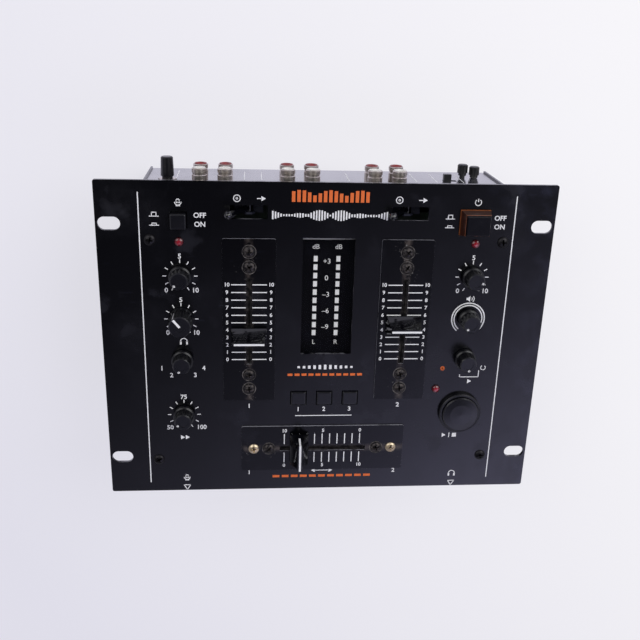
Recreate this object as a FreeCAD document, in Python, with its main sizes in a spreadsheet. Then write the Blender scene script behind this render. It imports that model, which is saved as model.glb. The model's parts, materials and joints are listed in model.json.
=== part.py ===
import FreeCAD, Part
import os
import re
import Sketcher

# A two-channel DJ mixer in millimetres. The origin is the centre of the panel's top face,
# +X is the user's right, +Y points to the connectors at the rear and +Z stands out of the panel.

SIZES = {
    # Steel panel with its rack slots
    "panel_width": 254.0,
    "panel_depth": 190.5,
    "panel_thick": 2.0,
    "panel_corner": 1.2,
    "rack_inset_x": 7.3,
    "rack_inset_y": 23.75,
    "rack_slot_length": 12.2,
    "rack_slot_width": 7.4,
    # Folded sheet case under the panel
    "case_width": 207.6,
    "case_depth": 178.5,
    "case_height": 66.0,
    "sheet_thick": 1.2,
    "lip_width": 5.0,
    "tab_width": 11.0,
    "tab_drop": 4.0,
    "flange_width": 7.4,
    "side_reach": 1.0,
    "foot_height": 7.0,
    "foot_radius": 8.0,
    "foot_recess_radius": 4.2,
    "foot_floor": 3.0,
    "foot_edge": 1.0,
    "foot_pitch_x": 166.0,
    "foot_pitch_y": 140.0,
    # Clearances
    "run_gap": 0.05,
    "hole_gap": 0.3,
    "button_gap": 0.4,
    # Screws
    "screw_head_radius": 3.3,
    "screw_head_height": 1.5,
    "screw_rim_height": 0.7,
    "screw_radius": 1.4,
    "screw_length": 6.0,
    "screw_hole_gap": 0.15,
    "panel_screw_inset": 5.5,
    "panel_screw_rear_y": 62.5,
    "panel_screw_front_y": -73.6,
    "side_screw_inset": 7.0,
    "side_screw_high": 20.0,
    "side_screw_low": 50.0,
    # Rows and columns of controls on the panel
    "column_x": 82.5,
    "row_mic": 42.0,
    "row_cue": 16.6,
    "row_assign": -8.3,
    "row_speed": -43.6,
    # Control board hung under the panel
    "board_drop": 18.0,
    "board_thick": 1.6,
    "board_width": 194.0,
    "board_depth": 160.0,
    "standoff_radius": 2.5,
    "standoff_x": 63.5,
    "standoff_y": 70.0,
    "standoff_middle_y": -12.0,
    # Rotary controls
    "shaft_radius": 3.0,
    "shaft_top": 7.0,
    "shaft_foot": 2.0,
    "shaft_edge": 0.5,
    "pot_width": 11.0,
    "pot_depth": 12.0,
    "pot_height": 8.0,
    "bushing_radius": 3.7,
    "bushing_rise": 0.5,
    "knob_lift": 0.8,
    "knob_height": 10.2,
    "knob_radius": 6.2,
    "knob_grip_radius": 5.4,
    "knob_top_radius": 5.0,
    "knob_skirt": 2.6,
    "knob_edge": 0.6,
    "knob_inset_radius": 3.0,
    "knob_inset_depth": 0.3,
    "knob_flutes": 14,
    "flute_radius": 0.75,
    "flute_depth": 0.2,
    "dot_radius": 0.6,
    "tall_knob_height": 13.2,
    "tall_knob_radius": 7.0,
    "tall_knob_grip_radius": 6.8,
    "tall_knob_top_radius": 6.2,
    "tall_knob_skirt": 1.2,
    "tall_knob_flutes": 18,
    "line_width": 0.9,
    "line_depth": 0.5,
    # Faders
    "fader_travel": 45.0,
    "plate_length": 98.0,
    "plate_width": 29.7,
    "plate_thick": 1.0,
    "plate_corner": 1.0,
    "plate_outer_screw": 41.6,
    "plate_inner_screw": 32.6,
    "slot_width": 3.2,
    "slot_end_gap": 1.5,
    "track_flange_length": 72.0,
    "track_flange_width": 12.0,
    "track_flange_thick": 1.0,
    "track_width": 9.6,
    "track_depth": 9.0,
    "track_wall": 1.0,
    "track_cut_gap": 1.0,
    "carriage_length": 9.0,
    "carriage_height": 4.0,
    "carriage_gap": 0.25,
    "tongue_width": 4.0,
    "tongue_thick": 1.2,
    "tongue_top": 8.0,
    "channel_x": 44.4,
    "channel_y": 14.8,
    "cross_y": -66.7,
    "rest_one": -8.5,
    "rest_two": -1.2,
    "rest_cross": -14.4,
    "cap_length": 20.0,
    "cap_base": 11.0,
    "cap_rim": 1.4,
    "cap_waist_length": 18.2,
    "cap_waist": 5.2,
    "cap_waist_height": 6.5,
    "cap_ridge_length": 17.0,
    "cap_ridge": 2.6,
    "cap_height": 12.4,
    "cap_lift": 0.8,
    # Push buttons
    "button_y": 73.7,
    "talkover_size": 8.6,
    "talkover_height": 5.0,
    "power_x": 81.2,
    "power_width": 17.0,
    "power_depth": 14.4,
    "power_height": 7.0,
    "power_top_width": 14.0,
    "power_top_depth": 11.8,
    "power_cap_thick": 1.6,
    "power_cap_inset": 0.7,
    "assign_pitch": 15.3,
    "assign_y": -33.5,
    "assign_width": 9.0,
    "assign_depth": 8.5,
    "assign_height": 1.2,
    "start_y": -43.6,
    "start_radius": 10.9,
    "start_height": 4.6,
    "start_crown": 0.7,
    "bezel_radius": 12.7,
    "bezel_height": 3.0,
    "bezel_sleeve": 0.8,
    "bezel_depth": 4.5,
    "button_skirt": 1.0,
    "stem_size": 4.0,
    "stem_length": 9.0,
    "switch_size": 9.0,
    "switch_top_drop": 8.5,
    "switch_floor": 1.0,
    # Source toggles
    "toggle_x": 44.5,
    "toggle_y": 78.4,
    "toggle_slot_length": 20.5,
    "toggle_slot_width": 7.7,
    "toggle_pivot_drop": 12.0,
    "toggle_reach": 22.0,
    "toggle_neck_length": 14.0,
    "toggle_neck_radius": 1.6,
    "toggle_tip_radius": 2.4,
    "toggle_tilt": 30.0,
    "toggle_pin_radius": 1.0,
    "toggle_hub_radius": 2.4,
    "toggle_hub_width": 4.0,
    "toggle_cheek": 1.2,
    "toggle_body_length": 16.0,
    "toggle_cheek_length": 7.0,
    # Level meter
    "meter_y": 29.45,
    "meter_width": 29.4,
    "meter_depth": 69.5,
    "meter_lap": 2.5,
    "window_thick": 1.5,
    "segment_x": 6.5,
    "segment_first_y": 4.2,
    "segment_pitch": 5.03,
    "segment_count": 10,
    "segment_width": 2.2,
    "segment_length": 3.5,
    "segment_drop": 10.0,
    "holder_side_lap": 2.0,
    "holder_end_lap": 6.0,
    "holder_drop": 10.3,
    # Indicator lights
    "led_radius": 2.5,
    "led_flange": 0.5,
    "led_rim": 0.3,
    "led_dome": 1.4,
    "led_y": 61.6,
    "led_ind_x": 66.9,
    "led_ind_y": -28.0,
    # Rear connectors, each a drop below the panel's face
    "phono_block_x_one": -64.6,
    "phono_block_x_two": -15.9,
    "phono_block_x_three": 33.0,
    "phono_pitch": 14.0,
    "phono_drop": 16.0,
    "phono_radius": 4.15,
    "phono_bore": 3.4,
    "phono_length": 10.0,
    "phono_edge": 0.35,
    "phono_groove_depth": 0.35,
    "phono_groove_width": 1.6,
    "phono_groove_place": 6.2,
    "phono_pin_hole": 1.6,
    "phono_insert_rise": 0.4,
    "phono_insert_flare": 0.8,
    "phono_hole_gap": 0.35,
    "block_width": 26.0,
    "block_depth": 5.0,
    "block_margin": 8.0,
    "main_board_x": -16.0,
    "main_board_width": 150.0,
    "main_board_depth": 60.0,
    "trim_x": -90.0,
    "trim_drop": 26.0,
    "trim_base_radius": 3.75,
    "trim_top_radius": 3.4,
    "trim_length": 10.6,
    "trim_bushing_radius": 3.0,
    "trim_bushing_length": 3.4,
    "trim_shaft_radius": 1.6,
    "trim_body": 9.6,
    "trim_body_depth": 7.0,
    "trim_shaft_depth": 4.2,
    "trim_edge": 0.5,
    "nut_thick": 2.0,
    "trim_nut_flats": 9.0,
    "slide_x": 74.4,
    "slide_drop": 40.0,
    "slide_travel": 3.0,
    "slide_lever_width": 4.4,
    "slide_lever_height": 3.4,
    "slide_lever_length": 4.0,
    "slide_lever_root": 3.0,
    "slide_body_width": 17.0,
    "slide_body_height": 8.0,
    "slide_body_depth": 7.0,
    "ground_x_one": 84.4,
    "ground_x_two": 91.6,
    "ground_drop": 50.0,
    "ground_head_radius": 3.1,
    "ground_head_length": 5.0,
    "ground_collar_radius": 2.4,
    "ground_collar_length": 1.6,
    "ground_thread_radius": 1.6,
    "ground_thread_length": 8.0,
    "ground_knurl": 0.3,
    "ground_flutes": 12,
    "ground_out_one": 1.6,
    "ground_out_two": 0.4,
    "inlet_x": 60.0,
    "inlet_drop": 16.0,
    "inlet_flange_radius": 5.6,
    "inlet_flange_thick": 1.6,
    "inlet_barrel_radius": 4.0,
    "inlet_length": 11.0,
    "inlet_bore": 2.9,
    "inlet_bore_depth": 9.0,
    "inlet_pin_radius": 1.0,
    "inlet_nut_flats": 11.0,
    "inlet_notch_gap": 2.5,
    "inlet_notch_front": 75.0,
    # Front sockets
    "socket_x": 82.0,
    "socket_drop": 34.0,
    "socket_bore": 3.25,
    "socket_bore_length": 27.0,
    "socket_bushing_radius": 4.4,
    "socket_bushing_length": 3.6,
    "socket_body_width": 16.0,
    "socket_body_length": 25.0,
    "socket_nut_flats": 12.0,
}

doc = FreeCAD.newDocument("dj_mixer")
sheet = doc.addObject("Spreadsheet::Sheet", "spec")
for row, (alias, size) in enumerate(SIZES.items(), 1):
    sheet.set(f"A{row}", alias)
    sheet.set(f"B{row}", str(size))
    sheet.setAlias(f"B{row}", alias)
doc.recompute()

nodes = []


# Expressions and placements

def sized(expression):
    """Write an expression with each size taken from the sheet."""
    def cell(word):
        return "spec." + word[0] if word[0] in SIZES else word[0]
    return re.sub(r"[a-z][a-z0-9_]*", cell, str(expression))


def measure(expression):
    """Give the present value of an expression of sizes."""
    return float(sheet.evalExpression(sized(expression)))


def bind(item, prop, expression):
    item.setExpression(prop, sized(expression))


def place(item, x="0", y="0", z="0", axis=None, angle=0.0):
    """Put an object at a bound position, turned by a fixed angle about an axis."""
    if axis:
        item.Placement = FreeCAD.Placement(FreeCAD.Vector(), FreeCAD.Rotation(FreeCAD.Vector(*axis), angle))
    for direction, expression in zip("xyz", (x, y, z)):
        bind(item, f"Placement.Base.{direction}", expression)


def new_body(label):
    body = doc.addObject("PartDesign::Body", label)
    body.Label = label
    return body


def node(item):
    """Hand a finished object in as a sub-part."""
    nodes.append(item)
    return item


def compound(label, copies):
    """Gather copies of solids into one sub-part; a copy is (source, x, y, z[, axis, angle])."""
    links = []
    for source, *where in copies:
        link = doc.addObject("App::Link", f"{label}_copy")
        link.LinkedObject = source
        place(link, *where)
        links.append(link)
    group = doc.addObject("Part::Compound", label)
    group.Label = label
    group.Links = links
    return node(group)


# Sketches whose points are bound to the sheet

def sketch(body, plane="XY_Plane", lift="0"):
    drawing = body.newObject("Sketcher::SketchObject", f"{body.Name}_sketch")
    support = next(f for f in body.Origin.OriginFeatures if f.Role == plane)
    drawing.AttachmentSupport = [(support, "")]
    drawing.MapMode = "FlatFace"
    bind(drawing, "AttachmentOffset.Base.z", lift)
    return drawing


def fix(drawing, kind, geometry, vertex, expression):
    index = drawing.addConstraint(
        Sketcher.Constraint(kind, -1, 1, geometry, vertex, measure(expression)))
    bind(drawing, f"Constraints[{index}]", expression)


def fix_point(drawing, geometry, vertex, x, y):
    fix(drawing, "DistanceX", geometry, vertex, x)
    fix(drawing, "DistanceY", geometry, vertex, y)


def polygon(drawing, points):
    spots = [FreeCAD.Vector(measure(x), measure(y), 0) for x, y in points]
    count = len(points)
    lines = [drawing.addGeometry(Part.LineSegment(spots[i], spots[(i + 1) % count])) for i in range(count)]
    for i in range(count):
        drawing.addConstraint(Sketcher.Constraint("Coincident", lines[i], 2, lines[(i + 1) % count], 1))
    for line, (x, y) in zip(lines, points):
        fix_point(drawing, line, 1, x, y)
    return drawing


def rectangle(drawing, width, depth, x="0", y="0"):
    left, right = f"({x}) - ({width}) / 2", f"({x}) + ({width}) / 2"
    low, high = f"({y}) - ({depth}) / 2", f"({y}) + ({depth}) / 2"
    return polygon(drawing, [(left, low), (right, low), (right, high), (left, high)])


def circle(drawing, radius, x="0", y="0"):
    centre = FreeCAD.Vector(measure(x), measure(y), 0)
    ring = drawing.addGeometry(Part.Circle(centre, FreeCAD.Vector(0, 0, 1), measure(radius)))
    fix_point(drawing, ring, 3, x, y)
    index = drawing.addConstraint(Sketcher.Constraint("Radius", ring, measure(radius)))
    bind(drawing, f"Constraints[{index}]", radius)
    return drawing


def rounded(drawing, width, depth, corner, x="0", y="0"):
    """A rectangle with round corners; a corner of half the depth makes a slot."""
    west, east = f"({x}) - ({width}) / 2", f"({x}) + ({width}) / 2"
    south, north = f"({y}) - ({depth}) / 2", f"({y}) + ({depth}) / 2"
    sides = [
        ((f"{west} + ({corner})", south), (f"{east} - ({corner})", south)),
        ((east, f"{south} + ({corner})"), (east, f"{north} - ({corner})")),
        ((f"{east} - ({corner})", north), (f"{west} + ({corner})", north)),
        ((west, f"{north} - ({corner})"), (west, f"{south} + ({corner})")),
    ]
    middles = [
        (f"{east} - ({corner})", f"{south} + ({corner})", 270),
        (f"{east} - ({corner})", f"{north} - ({corner})", 0),
        (f"{west} + ({corner})", f"{north} - ({corner})", 90),
        (f"{west} + ({corner})", f"{south} + ({corner})", 180),
    ]

    def spot(pair):
        return FreeCAD.Vector(measure(pair[0]), measure(pair[1]), 0)

    quarter = FreeCAD.Units.Quantity("90 deg").getValueAs("rad").Value
    lines = [drawing.addGeometry(Part.LineSegment(spot(a), spot(b))) for a, b in sides]
    for i, (mid_x, mid_y, start) in enumerate(middles):
        ring = Part.Circle(spot((mid_x, mid_y)), FreeCAD.Vector(0, 0, 1), measure(corner))
        begin = start / 90 * quarter
        arc = drawing.addGeometry(Part.ArcOfCircle(ring, begin, begin + quarter))
        drawing.addConstraint(Sketcher.Constraint("Coincident", lines[i], 2, arc, 1))
        drawing.addConstraint(Sketcher.Constraint("Coincident", arc, 2, lines[(i + 1) % 4], 1))
        fix(drawing, "DistanceX", arc, 3, mid_x)
    for line, (a, b) in zip(lines, sides):
        fix_point(drawing, line, 1, *a)
        fix_point(drawing, line, 2, *b)
    return drawing


def slot(drawing, length, width, x="0", y="0"):
    """A round-ended slot along the sketch's first axis."""
    low, high = f"({y}) - ({width}) / 2", f"({y}) + ({width}) / 2"
    left = f"({x}) - ({length}) / 2 + ({width}) / 2"
    right = f"({x}) + ({length}) / 2 - ({width}) / 2"

    def spot(a, b):
        return FreeCAD.Vector(measure(a), measure(b), 0)

    quarter = FreeCAD.Units.Quantity("90 deg").getValueAs("rad").Value
    bottom = drawing.addGeometry(Part.LineSegment(spot(left, low), spot(right, low)))
    top = drawing.addGeometry(Part.LineSegment(spot(right, high), spot(left, high)))
    for before, after, mid_x, begin in ((bottom, top, right, -quarter), (top, bottom, left, quarter)):
        ring = Part.Circle(spot(mid_x, y), FreeCAD.Vector(0, 0, 1), measure(width) / 2)
        arc = drawing.addGeometry(Part.ArcOfCircle(ring, begin, begin + 2 * quarter))
        drawing.addConstraint(Sketcher.Constraint("Coincident", before, 2, arc, 1))
        drawing.addConstraint(Sketcher.Constraint("Coincident", arc, 2, after, 1))
        fix(drawing, "DistanceX", arc, 3, mid_x)
    fix_point(drawing, bottom, 1, left, low)
    fix_point(drawing, bottom, 2, right, low)
    fix_point(drawing, top, 1, right, high)
    fix_point(drawing, top, 2, left, high)
    return drawing


# Features

def pad(body, drawing, length, both_ways=False, down=False):
    feature = body.newObject("PartDesign::Pad", f"{body.Name}_pad")
    feature.Profile = drawing
    feature.Midplane = both_ways
    feature.Reversed = down
    bind(feature, "Length", length)
    return feature


def pocket(body, drawing, depth, both_ways=False):
    feature = body.newObject("PartDesign::Pocket", f"{body.Name}_pocket")
    feature.Profile = drawing
    feature.Midplane = both_ways
    bind(feature, "Length", depth)
    return feature


def revolve(body, drawing):
    """Turn a half profile about the sketch's vertical axis."""
    feature = body.newObject("PartDesign::Revolution", f"{body.Name}_turned")
    feature.Profile = drawing
    feature.ReferenceAxis = (drawing, ["V_Axis"])
    feature.Angle = 360
    return feature


def round_pattern(body, feature, count, axis="Z_Axis"):
    pattern = body.newObject("PartDesign::PolarPattern", f"{body.Name}_ring")
    pattern.Originals = [feature]
    pattern.Axis = (next(f for f in body.Origin.OriginFeatures if f.Role == axis), [""])
    pattern.Angle = 360
    bind(pattern, "Occurrences", count)
    body.Tip = pattern
    return pattern


def row_pattern(body, feature, axis, length, count):
    pattern = body.newObject("PartDesign::LinearPattern", f"{body.Name}_row")
    pattern.Originals = [feature]
    pattern.Direction = (next(f for f in body.Origin.OriginFeatures if f.Role == axis), [""])
    bind(pattern, "Length", length)
    bind(pattern, "Occurrences", count)
    body.Tip = pattern
    return pattern


def turned(label, profile, plane="XZ_Plane"):
    """A body turned from one half profile of (radius, height) points."""
    body = new_body(label)
    revolve(body, polygon(sketch(body, plane), profile))
    return body


def hexagon(drawing, flats, x="0", y="0"):
    """A hexagon by its width across flats, with two flats level."""
    corner, half = f"({flats}) / sqrt(3)", f"({flats}) / 2"
    points = [(1, 0), (0.5, 1), (-0.5, 1), (-1, 0), (-0.5, -1), (0.5, -1)]
    return polygon(drawing, [(f"({x}) + {a} * {corner}", f"({y}) + {b} * {half}") for a, b in points])


# Places that several pieces share

KNOBS = {
    "mic_level": ("-column_x", "row_mic", -135.0),
    "cue_level": ("-column_x", "row_cue", -39.0),
    "cue_assign": ("-column_x", "row_assign", -157.0),
    "sampling_speed": ("-column_x", "row_speed", -125.0),
    "master_level": ("column_x", "row_mic", 100.0),
    "sampler_level": ("column_x", "row_cue", -140.0),
    "mode": ("column_x", "row_assign", 170.0),
}
TALL_KNOB = "cue_level"

UP = (0, 0, 1)
QUARTER_TURN = -90.0
FADERS = {
    "channel_1": ("-channel_x", "channel_y", 0.0, "rest_one"),
    "channel_2": ("channel_x", "channel_y", 0.0, "rest_two"),
    "crossfader": ("0", "cross_y", QUARTER_TURN, "rest_cross"),
}

BUTTONS = {
    "talkover": ("-column_x", "button_y"),
    "power": ("power_x", "button_y"),
    "assign_1": ("-assign_pitch", "assign_y"),
    "assign_2": ("0", "assign_y"),
    "assign_3": ("assign_pitch", "assign_y"),
    "start": ("column_x", "start_y"),
}
BUTTON_SIZES = {
    "talkover": ("talkover_size", "talkover_size"),
    "power": ("power_width", "power_depth"),
    "assign_1": ("assign_width", "assign_depth"),
    "assign_2": ("assign_width", "assign_depth"),
    "assign_3": ("assign_width", "assign_depth"),
}
LIGHTS = (("-column_x", "led_y"), ("column_x", "led_y"), ("led_ind_x", "led_ind_y"))
TOGGLES = {"toggle_1": ("-toggle_x", "toggle_y"), "toggle_2": ("toggle_x", "toggle_y")}
BOARD_TOP = "-board_drop"
CASE_FLOOR = "(-panel_thick - case_height)"
REAR_FACE = "(case_depth / 2)"
REAR_INNER = "(case_depth / 2 - sheet_thick)"
BLOCKS = ("phono_block_x_one", "phono_block_x_two", "phono_block_x_three")
SLIDE_RUN = ("slide_lever_width + slide_travel + 2 * button_gap", "slide_lever_height + 2 * button_gap")
SLOT_LENGTH = "(fader_travel + tongue_width + 2 * slot_end_gap)"
PANEL_SCREW_X = "(case_width / 2 - panel_screw_inset)"
PANEL_SCREWS = [(f"{side} * {PANEL_SCREW_X}", y)
                for side in (-1, 1) for y in ("panel_screw_rear_y", "panel_screw_front_y")]
FEET = [(f"{x} * foot_pitch_x / 2", f"{y} * foot_pitch_y / 2") for x in (-1, 1) for y in (-1, 1)]
SIDE_SCREWS = [(f"{end} * (case_depth / 2 - side_screw_inset)", f"-{drop}")
               for end in (-1, 1) for drop in ("side_screw_high", "side_screw_low")]


def fader_spot(name, along):
    """The panel position at a distance along a fader's slot from its centre."""
    x, y, turn, _ = FADERS[name]
    return (f"({x}) + ({along})", y) if turn else (x, f"({y}) + ({along})")


# Panel

def front_panel():
    body = new_body("front_panel")
    pad(body, rounded(sketch(body), "panel_width", "panel_depth", "panel_corner"), "panel_thick", down=True)
    holes = sketch(body)
    for x in (-1, 1):
        for y in (-1, 1):
            slot(holes, "rack_slot_length", "rack_slot_width",
                 f"{x} * (panel_width / 2 - rack_inset_x)", f"{y} * (panel_depth / 2 - rack_inset_y)")
    for x, y, _ in KNOBS.values():
        circle(holes, "bushing_radius + hole_gap", x, y)
    for x, y in LIGHTS:
        circle(holes, "led_radius + run_gap", x, y)
    for x, y in TOGGLES.values():
        rectangle(holes, "toggle_slot_length", "toggle_slot_width", x, y)
    for name, (width, depth) in BUTTON_SIZES.items():
        rectangle(holes, f"{width} + 2 * button_gap", f"{depth} + 2 * button_gap", *BUTTONS[name])
    circle(holes, "start_radius + hole_gap + bezel_sleeve + hole_gap", *BUTTONS["start"])
    rectangle(holes, "meter_width", "meter_depth", "0", "meter_y")
    for x, y in PANEL_SCREWS:
        circle(holes, "screw_radius + screw_hole_gap", x, y)
    for name, (x, y, turn, _) in FADERS.items():
        length, width = "track_flange_length + 2 * track_cut_gap", "track_flange_width + 2 * track_cut_gap"
        rectangle(holes, *((length, width) if turn else (width, length)), x, y)
        for end in (-1, 1):
            circle(holes, "screw_radius + screw_hole_gap", *fader_spot(name, f"{end} * plate_outer_screw"))
    pocket(body, holes, "panel_thick")
    node(body)


# Case

def case_tray():
    """Floor, front wall and rear wall folded from one sheet, with lips and side tabs."""
    body = new_body("case_tray")
    half, top = "case_depth / 2", "-panel_thick"
    floor, inner_floor = CASE_FLOOR, f"({CASE_FLOOR} + sheet_thick)"
    wall, lip = f"({half} - sheet_thick)", f"({half} - sheet_thick - lip_width)"
    under_lip = f"({top} - sheet_thick)"
    rear_fold = [(half, floor), (half, top), (lip, top),
                 (lip, under_lip), (wall, under_lip), (wall, inner_floor)]
    front_fold = [(f"-({y})", z) for y, z in reversed(rear_fold)]
    profile = polygon(sketch(body, "YZ_Plane"), rear_fold + front_fold)
    pad(body, profile, "case_width - 2 * sheet_thick", both_ways=True)
    tab_height = "case_height - sheet_thick - tab_drop"
    for side in (-1, 1):
        middle = f"{side} * (case_width / 2 - 1.5 * sheet_thick)"
        tabs = sketch(body, "YZ_Plane", middle)
        for end in (-1, 1):
            rectangle(tabs, "tab_width", tab_height, f"{end} * ({wall} - tab_width / 2)",
                      f"{inner_floor} + ({tab_height}) / 2")
        pad(body, tabs, "sheet_thick", both_ways=True)
    rear = sketch(body, "XZ_Plane", f"-({half} - sheet_thick / 2)")
    for block in BLOCKS:
        for across in (-0.5, 0.5):
            for down in (0, 1):
                circle(rear, "phono_radius + phono_hole_gap", f"{block} + {across} * phono_pitch",
                       f"-phono_drop - {down} * phono_pitch")
        circle(rear, "screw_radius + screw_hole_gap", block, "-phono_drop - phono_pitch / 2")
    circle(rear, "trim_bushing_radius + screw_hole_gap", "trim_x", "-trim_drop")
    circle(rear, "inlet_barrel_radius + screw_hole_gap", "inlet_x", "-inlet_drop")
    for x in ("ground_x_one", "ground_x_two"):
        circle(rear, "ground_thread_radius + run_gap", x, "-ground_drop")
    rectangle(rear, *SLIDE_RUN, "slide_x", "-slide_drop")
    pocket(body, rear, "2 * sheet_thick", both_ways=True)
    front = sketch(body, "XZ_Plane", f"{half} - sheet_thick / 2")
    for side in (-1, 1):
        circle(front, "socket_bushing_radius + screw_hole_gap", f"{side} * socket_x", "-socket_drop")
    pocket(body, front, "2 * sheet_thick", both_ways=True)
    feet = sketch(body, "XY_Plane", inner_floor)
    for x, y in FEET:
        circle(feet, "screw_radius + screw_hole_gap", x, y)
    pocket(body, feet, "sheet_thick")
    screws = sketch(body, "YZ_Plane")
    for y, z in SIDE_SCREWS:
        circle(screws, "screw_radius + screw_hole_gap", y, z)
    pocket(body, screws, "case_width", both_ways=True)
    node(body)


def side_panels():
    """Flat side with a top flange that takes the panel's screws, used on both sides."""
    body = new_body("side_panel")
    outer, inner, top = "case_width / 2", "(case_width / 2 - sheet_thick)", "-panel_thick"
    plate = [(inner, CASE_FLOOR), (outer, CASE_FLOOR), (outer, top), (inner, top)]
    pad(body, polygon(sketch(body, "XZ_Plane"), plate), "case_depth + 2 * side_reach", both_ways=True)
    edge, under = f"({inner} - flange_width)", f"({top} - sheet_thick)"
    flange = [(edge, under), (inner, under), (inner, top), (edge, top)]
    flange_length = "case_depth - 2 * sheet_thick - 2 * lip_width - 4 * button_gap"
    pad(body, polygon(sketch(body, "XZ_Plane"), flange), flange_length, both_ways=True)
    tapped = sketch(body, "XY_Plane", top)
    for y in ("panel_screw_rear_y", "panel_screw_front_y"):
        for mirror in ("", "-"):
            circle(tapped, "screw_radius + screw_hole_gap", PANEL_SCREW_X, f"{mirror}({y})")
    pocket(body, tapped, "sheet_thick")
    drilled = sketch(body, "YZ_Plane", "case_width / 2")
    for y, z in SIDE_SCREWS:
        circle(drilled, "screw_radius + screw_hole_gap", y, z)
    pocket(body, drilled, "sheet_thick")
    compound("side_panels", [(body, "0", "0", "0"), (body, "0", "0", "0", UP, 180.0)])


def rubber_feet():
    foot = turned("rubber_foot", [
        ("screw_radius + screw_hole_gap", "0"), ("foot_radius", "0"),
        ("foot_radius", "-foot_height + foot_edge"), ("foot_radius - foot_edge", "-foot_height"),
        ("foot_recess_radius", "-foot_height"), ("foot_recess_radius", "-foot_floor"),
        ("screw_radius + screw_hole_gap", "-foot_floor"),
    ])
    compound("rubber_feet", [(foot, x, y, CASE_FLOOR) for x, y in FEET])


# Screws

def pan_screw(label):
    """A domed head seated on z = 0 with its shank below."""
    return turned(label, [
        ("0", "-screw_length"), ("screw_radius", "-screw_length"), ("screw_radius", "0"),
        ("screw_head_radius", "0"), ("screw_head_radius", "screw_rim_height"),
        ("0.72 * screw_head_radius", "(screw_rim_height + 3 * screw_head_height) / 4"),
        ("0.3 * screw_head_radius", "screw_head_height"), ("0", "screw_head_height"),
    ])


def screws():
    black = pan_screw("black_screw")
    brass = pan_screw("brass_screw")
    spots = [(black, x, y, "0") for x, y in PANEL_SCREWS]
    for name in FADERS:
        for end in (-1, 1):
            spots.append((black, *fader_spot(name, f"{end} * plate_inner_screw"), "plate_thick"))
    for name in ("channel_1", "channel_2"):
        for end in (-1, 1):
            spots.append((black, *fader_spot(name, f"{end} * plate_outer_screw"), "plate_thick"))
    for side, angle in ((1, 90.0), (-1, -90.0)):
        for y, z in SIDE_SCREWS:
            spots.append((black, f"{side} * case_width / 2", y, z, (0, 1, 0), angle))
    for block in BLOCKS:
        spots.append((black, block, REAR_FACE, "-phono_drop - phono_pitch / 2", (1, 0, 0), -90.0))
    for x, y in FEET:
        spots.append((black, x, y, f"{CASE_FLOOR} - foot_floor", (1, 0, 0), 180.0))
    compound("black_screws", spots)
    ends = [fader_spot("crossfader", f"{end} * plate_outer_screw") for end in (-1, 1)]
    compound("crossfader_screws", [(brass, *end, "plate_thick") for end in ends])


# Faders

def fader_plate(label):
    body = new_body(label)
    pad(body, rounded(sketch(body), "plate_width", "plate_length", "plate_corner"), "plate_thick")
    holes = sketch(body, "XY_Plane", "plate_thick")
    rectangle(holes, "slot_width", SLOT_LENGTH)
    for end in (-1, 1):
        for spot in ("plate_outer_screw", "plate_inner_screw"):
            circle(holes, "screw_radius + screw_hole_gap", "0", f"{end} * {spot}")
    pocket(body, holes, "plate_thick")
    return body


def fader_track(label):
    """A folded channel that guides the carriage, hung from its plate by end flanges."""
    body = new_body(label)
    flange = rectangle(sketch(body), "track_flange_width", "track_flange_length")
    pad(body, flange, "track_flange_thick", down=True)
    inside = f"({SLOT_LENGTH} + carriage_length - tongue_width)"
    trough = sketch(body)
    rectangle(trough, "track_width", f"{inside} + 2 * track_wall")
    pad(body, trough, "track_depth", down=True)
    chamber = sketch(body, "XY_Plane", "-track_flange_thick")
    rectangle(chamber, "track_width - 2 * track_wall", inside)
    pocket(body, chamber, "track_depth - track_flange_thick - track_wall")
    opening = sketch(body)
    rectangle(opening, "slot_width", SLOT_LENGTH)
    for end in (-1, 1):
        circle(opening, "screw_radius + screw_hole_gap", "0", f"{end} * plate_inner_screw")
    pocket(body, opening, "track_flange_thick")
    return body


def fader_lever(label):
    """The carriage in the track with the tongue that carries the cap."""
    body = new_body(label)
    low = "(-track_depth + track_wall + carriage_gap)"
    block = sketch(body, "XY_Plane", low)
    rectangle(block, "track_width - 2 * track_wall - 2 * carriage_gap", "carriage_length")
    pad(body, block, "carriage_height")
    tongue = sketch(body, "XY_Plane", low)
    rectangle(tongue, "tongue_thick", "tongue_width")
    pad(body, tongue, f"tongue_top - {low}")
    return body


def fader_cap(label):
    """A finger cap that narrows from its rim to a ridge across the slot."""
    body = new_body(label)
    base = "(plate_thick + cap_lift)"
    rim = sketch(body, "XY_Plane", base)
    rectangle(rim, "cap_length", "cap_base")
    pad(body, rim, "cap_rim")
    sections = []
    for length, width, lift in (("cap_length", "cap_base", "cap_rim"),
                                ("cap_waist_length", "cap_waist", "cap_waist_height"),
                                ("cap_ridge_length", "cap_ridge", "cap_height")):
        section = sketch(body, "XY_Plane", f"{base} + {lift}")
        sections.append(rectangle(section, length, width))
    loft = body.newObject("PartDesign::AdditiveLoft", f"{label}_sides")
    loft.Profile = sections[0]
    loft.Sections = sections[1:]
    socket = sketch(body, "XY_Plane", "tongue_top + run_gap")
    rectangle(socket, "tongue_thick + 2 * run_gap", "tongue_width + 2 * run_gap")
    pocket(body, socket, f"tongue_top + run_gap - {base}")
    return body


def faders():
    plates = fader_plate("fader_plate")
    track = fader_track("fader_track")
    compound("channel_plates", [(plates, *FADERS[name][:2], "0") for name in ("channel_1", "channel_2")])
    compound("fader_tracks", [(track, x, y, "0", UP, turn) for x, y, turn, _ in FADERS.values()])
    cross_plate = fader_plate("crossfader_plate")
    x, y, turn, _ = FADERS["crossfader"]
    place(cross_plate, x, y, "0", UP, turn)
    node(cross_plate)
    for name, (_, _, turn, rest) in FADERS.items():
        for make, piece in ((fader_lever, "lever"), (fader_cap, "cap")):
            body = make(f"{name}_{piece}")
            place(body, *fader_spot(name, rest), "0", UP, turn)
            node(body)


# Rotary controls

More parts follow.
